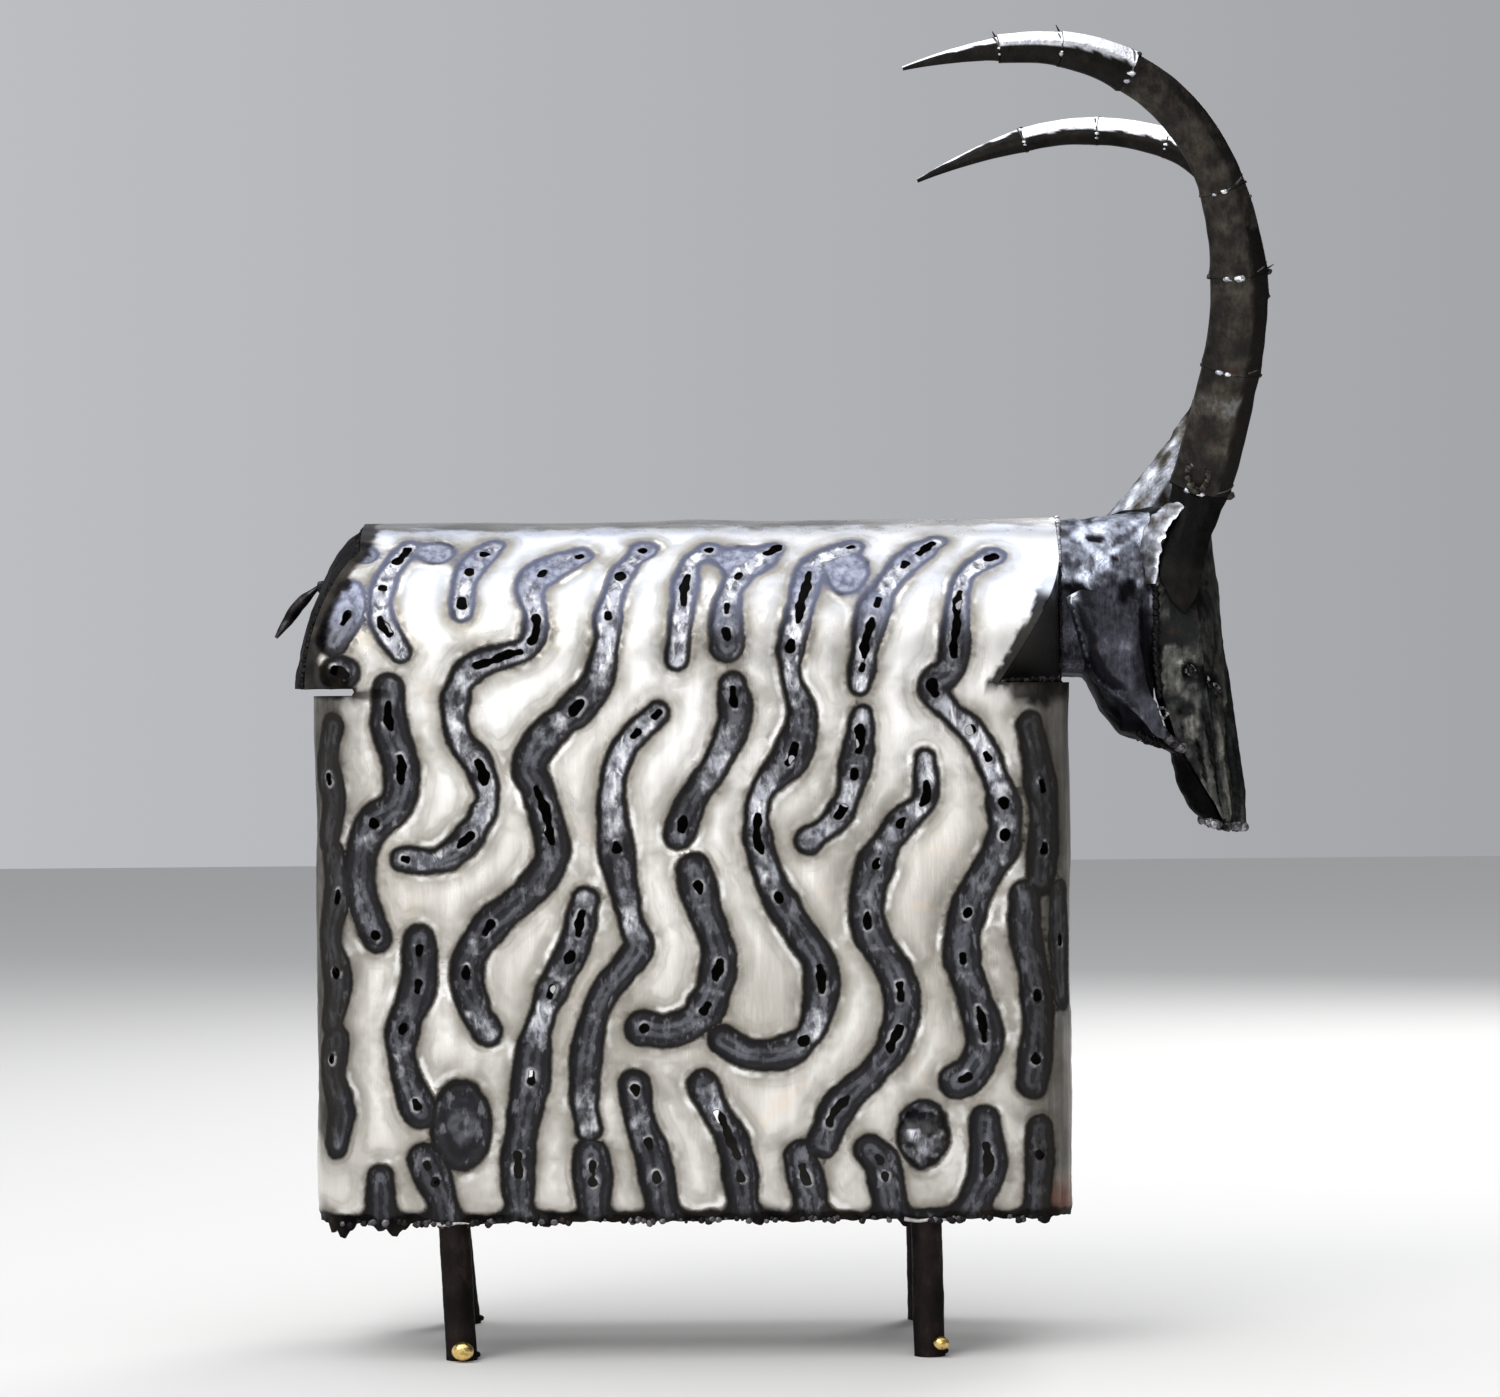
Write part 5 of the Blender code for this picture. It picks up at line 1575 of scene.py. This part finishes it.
def make_rump(material):
    """The dished plate in the cut end of the half-round top, hammered and scorched, and its ragged weld."""
    radius = HALF_DEPTH - SHEET - GAP
    rows = []
    for angle in np.linspace(0, math.radians(86), 40):
        edge_x = float(rump_edge_x(angle)) + GAP
        middle_x = RUMP_BULGE_X + RUMP_BULGE_SWEEP * (1 - math.cos(angle)) ** RUMP_BULGE_POWER
        half, height = radius * math.cos(angle), SPRING_Z + radius * math.sin(angle)
        rows.append([(lerp(middle_x, edge_x, t * t), half * t, height) for t in np.linspace(-1, 1, 61)])
    grid = np.array(rows)
    flat = grid.reshape(-1, 3)
    ahead = 0.9 * noise(flat, 14, 1.1) + 0.5 * noise(flat, 5, 3.1)
    grid = grid + (ahead[:, None] * (1, 0, 0)).reshape(grid.shape)
    body = Body()
    body.plate(grid, False, 0.10 + 0.12 * noise(flat, 9, 4) + 0.06 * noise(flat, 3, 5))
    reach = radius - 1
    angles = np.linspace(0.02, math.radians(84), 26)
    for side in (-1, 1):
        edge = [(rump_edge_x(a) - 0.8, side * reach * math.cos(a), SPRING_Z + reach * math.sin(a))
                for a in angles]
        body.run(edge, 1.5, 2.0, 0.05, 141 + side)
    return body.finish("rump_dish", material, "blackened_steel", "rump_plate")


TAIL_STATIONS = (  # middle x and z, half thickness, half width
    (-153.9, 316.0, 0.8, 3.0), (-161.5, 309.5, 2.4, 5.0), (-167.0, 302.0, 2.2, 4.0),
    (-172.2, 294.8, 0.7, 0.8),
)


def make_tail(material):
    """The pointed leaf of sheet, with three lumps of weld at its root on the rump's dish."""
    away = np.array((-0.8, 0.0, 0.6))
    turn = full_turn(24)
    rings = []
    for x, z, half_thickness, half_width in TAIL_STATIONS:
        around = np.outer(np.cos(turn), away * half_thickness) + np.outer(np.sin(turn), (0, half_width, 0))
        rings.append(np.array((x, 0.0, z)) + around)
    rings = dented(smooth_loft(rings, 30), (0.12, 4, 2.8), (0.06, 2, 1.8))
    body = Body()
    body.loft(rings, 0.20 + 0.2 * noise(rings.reshape(-1, 3), 4, 1))
    for number, aside in enumerate((-2.4, 0.1, 2.6)):
        place = (-153.4 + 0.2 * number, aside, 316.3 - 0.5 * abs(aside))
        body.blob(place, (1.7, 1.6, 1.9), 0.10 + 0.16 * (number == 1))
    return body.finish("tail_leaf", material, "blackened_steel", "tail")


# Materials


def ground_steel(g, height, streak, fine):
    """The ground sheet: cream and grey grinding marks, warm and cool clouds, scale along the ridge, and
    painted light: lighter high up and near the floor, with a painted lilac sky reflection on the half-round
    top.
    """
    broad = g.noise(70, 2, stretch=(1, 1, 1.6))
    warm = g.noise(26, 3, bend=0.8)
    # painted reflection of the sky: the half-round top tinted lilac
    lilac = g.times(g.step(height, 288, 312), g.step(g.noise(38, 3), 0.3, 0.62, 0.25, 0.9))
    ridge = g.plus(height, g.times(g.noise(9, 4, stretch=(1.6, 1, 1)), 9.0))
    scale_patch = g.step(g.noise(14, 4, stretch=(2.5, 1, 1)), 0.35, 0.65)
    crown = g.mix(scale_patch, (0.11, 0.10, 0.092), (0.34, 0.32, 0.30))
    colour = g.mix(g.step(broad, 0.35, 0.65), (0.54, 0.50, 0.44), (0.92, 0.89, 0.84))
    layers = (
        (g.step(streak, 0.35, 0.75, 0.0, 0.45), (0.50, 0.47, 0.42)),
        (g.step(fine, 0.4, 0.8, 0.0, 0.22), (0.95, 0.93, 0.90)),
        (g.step(warm, 0.62, 0.78, 0.0, 0.35), (0.88, 0.62, 0.36)),
        (g.step(warm, 0.36, 0.22, 0.0, 0.4), (0.56, 0.58, 0.66)),
        # painted light: the sheet lighter high up, and lighter again near the floor
        (g.step(height, 190, 290, 0.0, 0.45), (0.96, 0.95, 0.93)),
        (g.step(height, 130, 60, 0.0, 0.35), (1.0, 0.97, 0.93)),
        (lilac, (0.74, 0.79, 0.92)),
        (g.step(ridge, 337.2, 339.8, 0.0, 0.9), crown),
    )
    return g.layered(colour, layers)


def heat_marks_and_painted_light(g, ground, edge):
    """The ground sheet beside the tracks: faint heat contours, a painted shade band, a scorched fringe and a
    painted highlight.
    """
    contour = g.math("PINGPONG", g.plus(edge, g.times(g.noise(16, 3), 5.0)), 2.1)
    contour = g.times(g.step(contour, 1.1, 0.2), g.step(edge, 8.5, 2.0))
    contour = g.times(contour, g.step(g.noise(20, 3), 0.38, 0.66, 0.1, 0.75))
    # painted shade: a patchy darker band within about 9 mm of each track
    cloud = g.step(g.noise(24, 3, bend=0.4), 0.34, 0.62, 0.35, 0.95)
    fringe = g.times(g.step(edge, 2.8, 0.0, 0.0, 0.8), g.step(g.noise(15, 3), 0.3, 0.6, 0.45, 1.0))
    # painted highlight just outside each track's edge
    glint = g.times(g.step(edge, 0.3, 1.2), g.step(edge, 3.4, 1.8))
    glint = g.times(glint, g.step(g.noise(19, 3), 0.50, 0.68, 0.0, 0.75))
    return g.layered(ground, (
        (contour, (0.40, 0.36, 0.30)),
        (g.times(g.step(edge, 9.5, 1.5), cloud), (0.31, 0.29, 0.25)),
        (fringe, (0.20, 0.175, 0.145)),
        (glint, (0.93, 0.92, 0.89)),
    ))


def track_metal(g, core, web_and_painted_sky):
    """The inside of a track: striped slate scale, silver melt in patches, and lilac in the webs and, as a
    painted sky reflection, on the half-round top.
    """
    slate = g.ramp(core, (
        (0.0, (0.17, 0.173, 0.195)), (0.36, (0.105, 0.107, 0.122)), (0.64, (0.042, 0.042, 0.048)),
        (1.0, (0.012, 0.011, 0.012)),
    ))
    stripe = g.plus(g.times(core, 3.4), g.times(g.noise(10, 3), 2.2))
    stripe = g.step(g.math("PINGPONG", stripe, 1.0), 0.25, 0.8)
    crust = g.noise(3.6, 4, stretch=(1, 1, 2.2))
    slate = g.layered(slate, (
        (g.step(g.noise(13, 3, bend=0.5), 0.38, 0.62, 0.75, 0.0), (0.026, 0.025, 0.027)),
        (g.times(stripe, 0.8), (0.014, 0.014, 0.017)),
        (g.step(crust, 0.54, 0.70, 0.0, 0.55), (0.27, 0.27, 0.30)),
    ))
    pits = g.noise(3.4, 4, 0.55, (1, 1, 1.8))
    flecks = g.noise(4.0, 4, 0.6, (1, 1, 2.2), 0.6)
    melt = g.mix(g.step(pits, 0.36, 0.62), (0.11, 0.11, 0.13), (0.50, 0.51, 0.56))
    melt = g.mix(g.step(flecks, 0.45, 0.66), melt, (0.93, 0.93, 0.96))
    patchy = g.plus(g.attribute("silver"), g.times(g.minus(g.noise(6, 3), 0.5), 1.2))
    silver = g.times(g.step(patchy, 0.0, 0.6), g.step(core, 0.80, 0.45))
    # lilac: the webs' own colour, and a painted sky reflection on the half-round top
    lilac = g.mix(g.step(pits, 0.3, 0.7), (0.13, 0.14, 0.20), (0.40, 0.42, 0.52))
    return g.mix(g.times(web_and_painted_sky, g.minus(1.0, silver)), g.mix(silver, slate, melt), lilac)


def flame_cut_steel():
    """Ground steel between flame-cut tracks: burnt outlines, slate scale, silver melt, bright slot rims, with
    painted shade, highlights and sky reflection.
    """
    g = Graph("flame_cut_steel")
    wobble = g.times(g.minus(g.noise(2.6, 4), 0.5), 1.3)
    edge = g.plus(g.attribute("edge"), wobble)
    rim = g.plus(g.attribute("rim"), g.times(wobble, 0.5))
    core = g.plus(g.attribute("core"), g.times(wobble, 0.16))
    web_and_painted_sky = g.attribute("web_and_painted_sky")
    soot_and_shade = g.attribute("soot_and_shade")
    streak = g.noise(5, 4, stretch=(1, 1, 14))
    fine = g.noise(1.1, 3, stretch=(1, 1, 9))
    height = g.math("DIVIDE", g.height(), MM)
    # brown stain, and painted shade, round the corners
    stain_and_shade = g.times(g.attribute("stain_and_shade"), g.step(streak, 0.25, 0.65, 0.75, 1.0))

    brown = g.mix(g.step(g.noise(11, 4), 0.35, 0.65), (0.038, 0.034, 0.026), (0.100, 0.091, 0.072))
    brown = g.mix(g.step(height, 76, 64), brown, (0.15, 0.065, 0.045))
    ground = g.mix(stain_and_shade, heat_marks_and_painted_light(g, ground_steel(g, height, streak, fine), edge), brown)
    outline = g.mix(g.noise(7, 3), (0.004, 0.004, 0.004), (0.022, 0.019, 0.018))
    # outlines lilac in the webs, and as a painted sky reflection on the half-round top
    border = g.mix(g.times(web_and_painted_sky, 0.75), outline, (0.15, 0.16, 0.23))
    burnt = g.mix(g.step(edge, -1.1, -3.1), border, track_metal(g, core, web_and_painted_sky))
    black_of_soot_and_shade = g.mix(g.step(g.noise(9, 4), 0.35, 0.7), (0.003, 0.003, 0.004), (0.022, 0.018, 0.013))
    lip = g.times(g.step(rim, 1.9, 0.5), g.step(g.noise(6.5, 4), 0.48, 0.64))
    colour = g.layered(ground, (
        (g.step(edge, 0.9, -0.6), burnt),
        (g.times(stain_and_shade, g.step(edge, 1.0, -1.0, 0.0, 0.7)), (0.030, 0.027, 0.022)),
        # black of soot, and painted shade on the chest's facet and shelf and the inner faces
        (g.times(soot_and_shade, 0.96), black_of_soot_and_shade),
        (g.times(lip, 0.75), (0.52, 0.51, 0.53)),
        (g.step(rim, 0.34, 0.08), (0.010, 0.009, 0.009)),
    ))

    rough = g.step(edge, 0.5, -1.0, 0.30, 0.52)
    rough = g.plus(rough, g.times(g.minus(streak, 0.5), 0.25))
    rough = g.plus(rough, g.times(g.math("MAXIMUM", soot_and_shade, stain_and_shade), 0.15))
    metal = g.math("MAXIMUM", g.step(edge, 0.5, -1.0, 0.82, 0.80), g.step(soot_and_shade, 0.1, 0.6))
    grain = g.bump(fine, 0.05, 0.35)
    scale = g.times(g.noise(2.2, 5, 0.62), g.step(edge, 0.0, -1.5))
    return g.surface(colour, rough, metal, g.bump(scale, 0.5, 0.7, grain))


def shaded_steel(name, stops, grain, roughness, metallic):
    """Steel coloured by each point's shade, from black through scale to white (soot to clean metal, and in
    places painted shade and highlights), with a streaked grain.
    """
    g = Graph(name)
    mottle = g.minus(g.noise(3.4, 5, 0.62), 0.5)
    streak = g.minus(g.noise(1.6, 4, 0.6, grain), 0.5)
    shade = g.attribute("shade")
    wander = g.plus(g.times(mottle, 0.42), g.times(streak, 0.34))
    wander = g.times(wander, g.step(shade, 0.0, 0.35, 0.08, 1.0))
    mixed = g.plus(shade, wander)
    colour = g.ramp(mixed, stops)
    rust = g.times(g.step(g.noise(6, 5, 0.6), 0.56, 0.72), g.step(mixed, 0.5, 0.2, 0.0, 0.45))
    rust = g.times(rust, g.step(mixed, 0.02, 0.12))
    colour = g.mix(rust, colour, (0.060, 0.030, 0.018))
    rough = g.step(mixed, 0.1, 0.9, roughness, roughness - 0.16)
    rough = g.plus(rough, g.times(mottle, 0.3))
    flakes = g.bump(g.noise(1.3, 4, 0.6), 0.25, 0.8)
    return g.surface(colour, rough, metallic, g.bump(g.noise(5, 3), 0.7, 0.7, flakes), 0.35)


HEAD_STOPS = ((0.0, (0.005, 0.005, 0.007)), (0.18, (0.020, 0.020, 0.025)), (0.38, (0.085, 0.087, 0.105)),
              (0.6, (0.29, 0.31, 0.37)), (0.8, (0.62, 0.66, 0.75)), (1.0, (0.95, 0.96, 1.0)))
FACE_STOPS = ((0.0, (0.006, 0.006, 0.006)), (0.18, (0.028, 0.029, 0.029)), (0.38, (0.118, 0.118, 0.106)),
              (0.6, (0.30, 0.285, 0.25)), (0.8, (0.62, 0.62, 0.62)), (1.0, (0.95, 0.95, 0.95)))
HORN_STOPS = ((0.0, (0.006, 0.006, 0.006)), (0.14, (0.030, 0.027, 0.024)), (0.3, (0.085, 0.076, 0.062)),
              (0.55, (0.27, 0.28, 0.31)), (0.8, (0.62, 0.64, 0.70)), (1.0, (0.97, 0.97, 1.0)))
BAR_STOPS = ((0.0, (0.006, 0.005, 0.005)), (0.2, (0.022, 0.016, 0.015)), (0.4, (0.060, 0.046, 0.042)),
             (0.7, (0.40, 0.38, 0.36)), (1.0, (0.85, 0.84, 0.82)))
WELD_STOPS = ((0.0, (0.008, 0.008, 0.009)), (0.2, (0.035, 0.031, 0.032)), (0.45, (0.17, 0.16, 0.17)),
              (0.8, (0.55, 0.55, 0.58)), (1.0, (0.9, 0.9, 0.92)))


def brass_braze():
    """Bright brass, dulled and browned by flux in its hollows."""
    g = Graph("brass_braze")
    patch = g.noise(2.2, 4)
    colour = g.mix(g.step(patch, 0.32, 0.6), (0.42, 0.24, 0.06), (0.95, 0.70, 0.27))
    rough = g.step(patch, 0.3, 0.7, 0.42, 0.2)
    return g.surface(colour, rough, 1.0, g.bump(g.noise(1.2, 3), 0.15, 0.6))


# Stage


def make_stage():
    floor = bpy.data.meshes.new("floor")
    half = 6.0
    corners = [(-half, -half, 0), (half, -half, 0), (half, half, 0), (-half, half, 0)]
    floor.from_pydata(corners, [], [(0, 1, 2, 3)])
    g = Graph("pale_floor")
    floor.materials.append(g.surface((0.74, 0.73, 0.71), 0.85, 0.0))
    obj = bpy.data.objects.new("floor", floor)
    bpy.context.scene.collection.objects.link(obj)


def make_light(name, place, target, size, watts, colour):
    light = bpy.data.lights.new(name, "AREA")
    light.shape = "DISK"
    light.size = size
    light.energy = watts
    light.color = colour
    obj = bpy.data.objects.new(name, light)
    obj.location = place
    obj.rotation_euler = (Vector(target) - Vector(place)).to_track_quat("-Z", "Y").to_euler()
    obj.visible_camera = False
    bpy.context.scene.collection.objects.link(obj)


def make_world():
    """A soft studio: bright overhead and toward the tail, dimmer toward the head."""
    world = bpy.data.worlds.new("studio")
    world.use_nodes = True
    tree = world.node_tree
    back = tree.nodes["Background"]
    place = tree.nodes.new("ShaderNodeTexCoord")
    parts = tree.nodes.new("ShaderNodeSeparateXYZ")
    tree.links.new(place.outputs["Generated"], parts.inputs[0])
    side = tree.nodes.new("ShaderNodeMapRange")
    side.interpolation_type = "SMOOTHSTEP"
    for key, value in {"From Min": -0.6, "From Max": 0.9, "To Min": 0.95, "To Max": 0.22}.items():
        side.inputs[key].default_value = value
    tree.links.new(parts.outputs["X"], side.inputs["Value"])
    tint = tree.nodes.new("ShaderNodeMix")
    tint.data_type = "RGBA"
    tint.inputs[6].default_value = (0.0, 0.0, 0.0, 1.0)
    tint.inputs[7].default_value = (0.93, 0.95, 1.0, 1.0)
    tree.links.new(side.outputs["Result"], tint.inputs[0])
    tree.links.new(tint.outputs[2], back.inputs["Color"])
    back.inputs["Strength"].default_value = 0.68
    bpy.context.scene.world = world


def make_camera():
    """Level, square to the near side, with the slight roll of a hand-held view."""
    camera = bpy.data.objects.new("camera", bpy.data.cameras.new("camera"))
    camera.data.lens = 120
    camera.data.sensor_width = 36
    camera.data.clip_end = 30
    place = Vector((CENTRE_X * MM + 0.0236, -2.0675, 0.2645))
    roll = Matrix.Rotation(-math.radians(0.5), 4, "Z")
    camera.matrix_world = Matrix.Translation(place) @ Matrix.Rotation(math.pi / 2, 4, "X") @ roll
    bpy.context.scene.collection.objects.link(camera)
    bpy.context.scene.camera = camera


make_camera()
make_stage()
make_world()
make_light("key", (-1.0, -1.5, 1.5), (0, 0, 0.25), 1.3, 16, (1.0, 0.98, 0.95))
make_light("front", (-0.2, -2.2, 0.5), (0, 0, 0.2), 1.0, 3.5, (0.95, 0.97, 1.0))
make_light("back", (0.8, 1.8, 1.3), (0, 0, 0.25), 1.2, 22, (1.0, 1.0, 1.0))
make_light("overhead", (-0.2, -0.3, 2.0), (0, 0, 0.3), 3.4, 38, (0.95, 0.97, 1.0))
bpy.context.scene.view_settings.view_transform = "Standard"

make_body(flame_cut_steel())

head_steel = shaded_steel("head_steel", HEAD_STOPS, (1, 1, 7), 0.42, 0.9)
horn_steel = shaded_steel("horn_steel", HORN_STOPS, (1, 1, 3), 0.50, 0.85)
bar_steel = shaded_steel("bar_steel", BAR_STOPS, (1, 1, 6), 0.46, 0.8)
weld_steel = shaded_steel("weld_steel", WELD_STOPS, (1, 1, 1), 0.50, 0.85)
face_steel = shaded_steel("face_steel", FACE_STOPS, (1, 1, 7), 0.44, 0.88)
brass = brass_braze()

make_neck(head_steel)
make_face(face_steel)
make_jaw(weld_steel)
make_cheek("cheek_near_leaf", -1, head_steel, "cheek_near")
make_cheek("cheek_far_leaf", 1, head_steel, "cheek_far")
make_head_welds(weld_steel)
make_seam_welds(weld_steel)
make_near_horn(horn_steel)
make_far_horn(horn_steel)
make_rump(weld_steel)
make_tail(weld_steel)
for leg_name, leg_side, top_x, bottom_x, *bead in LEGS:
    make_leg(leg_name, leg_side, top_x, bottom_x, bar_steel)
    make_bead(leg_name, leg_side, bottom_x, *bead, brass)
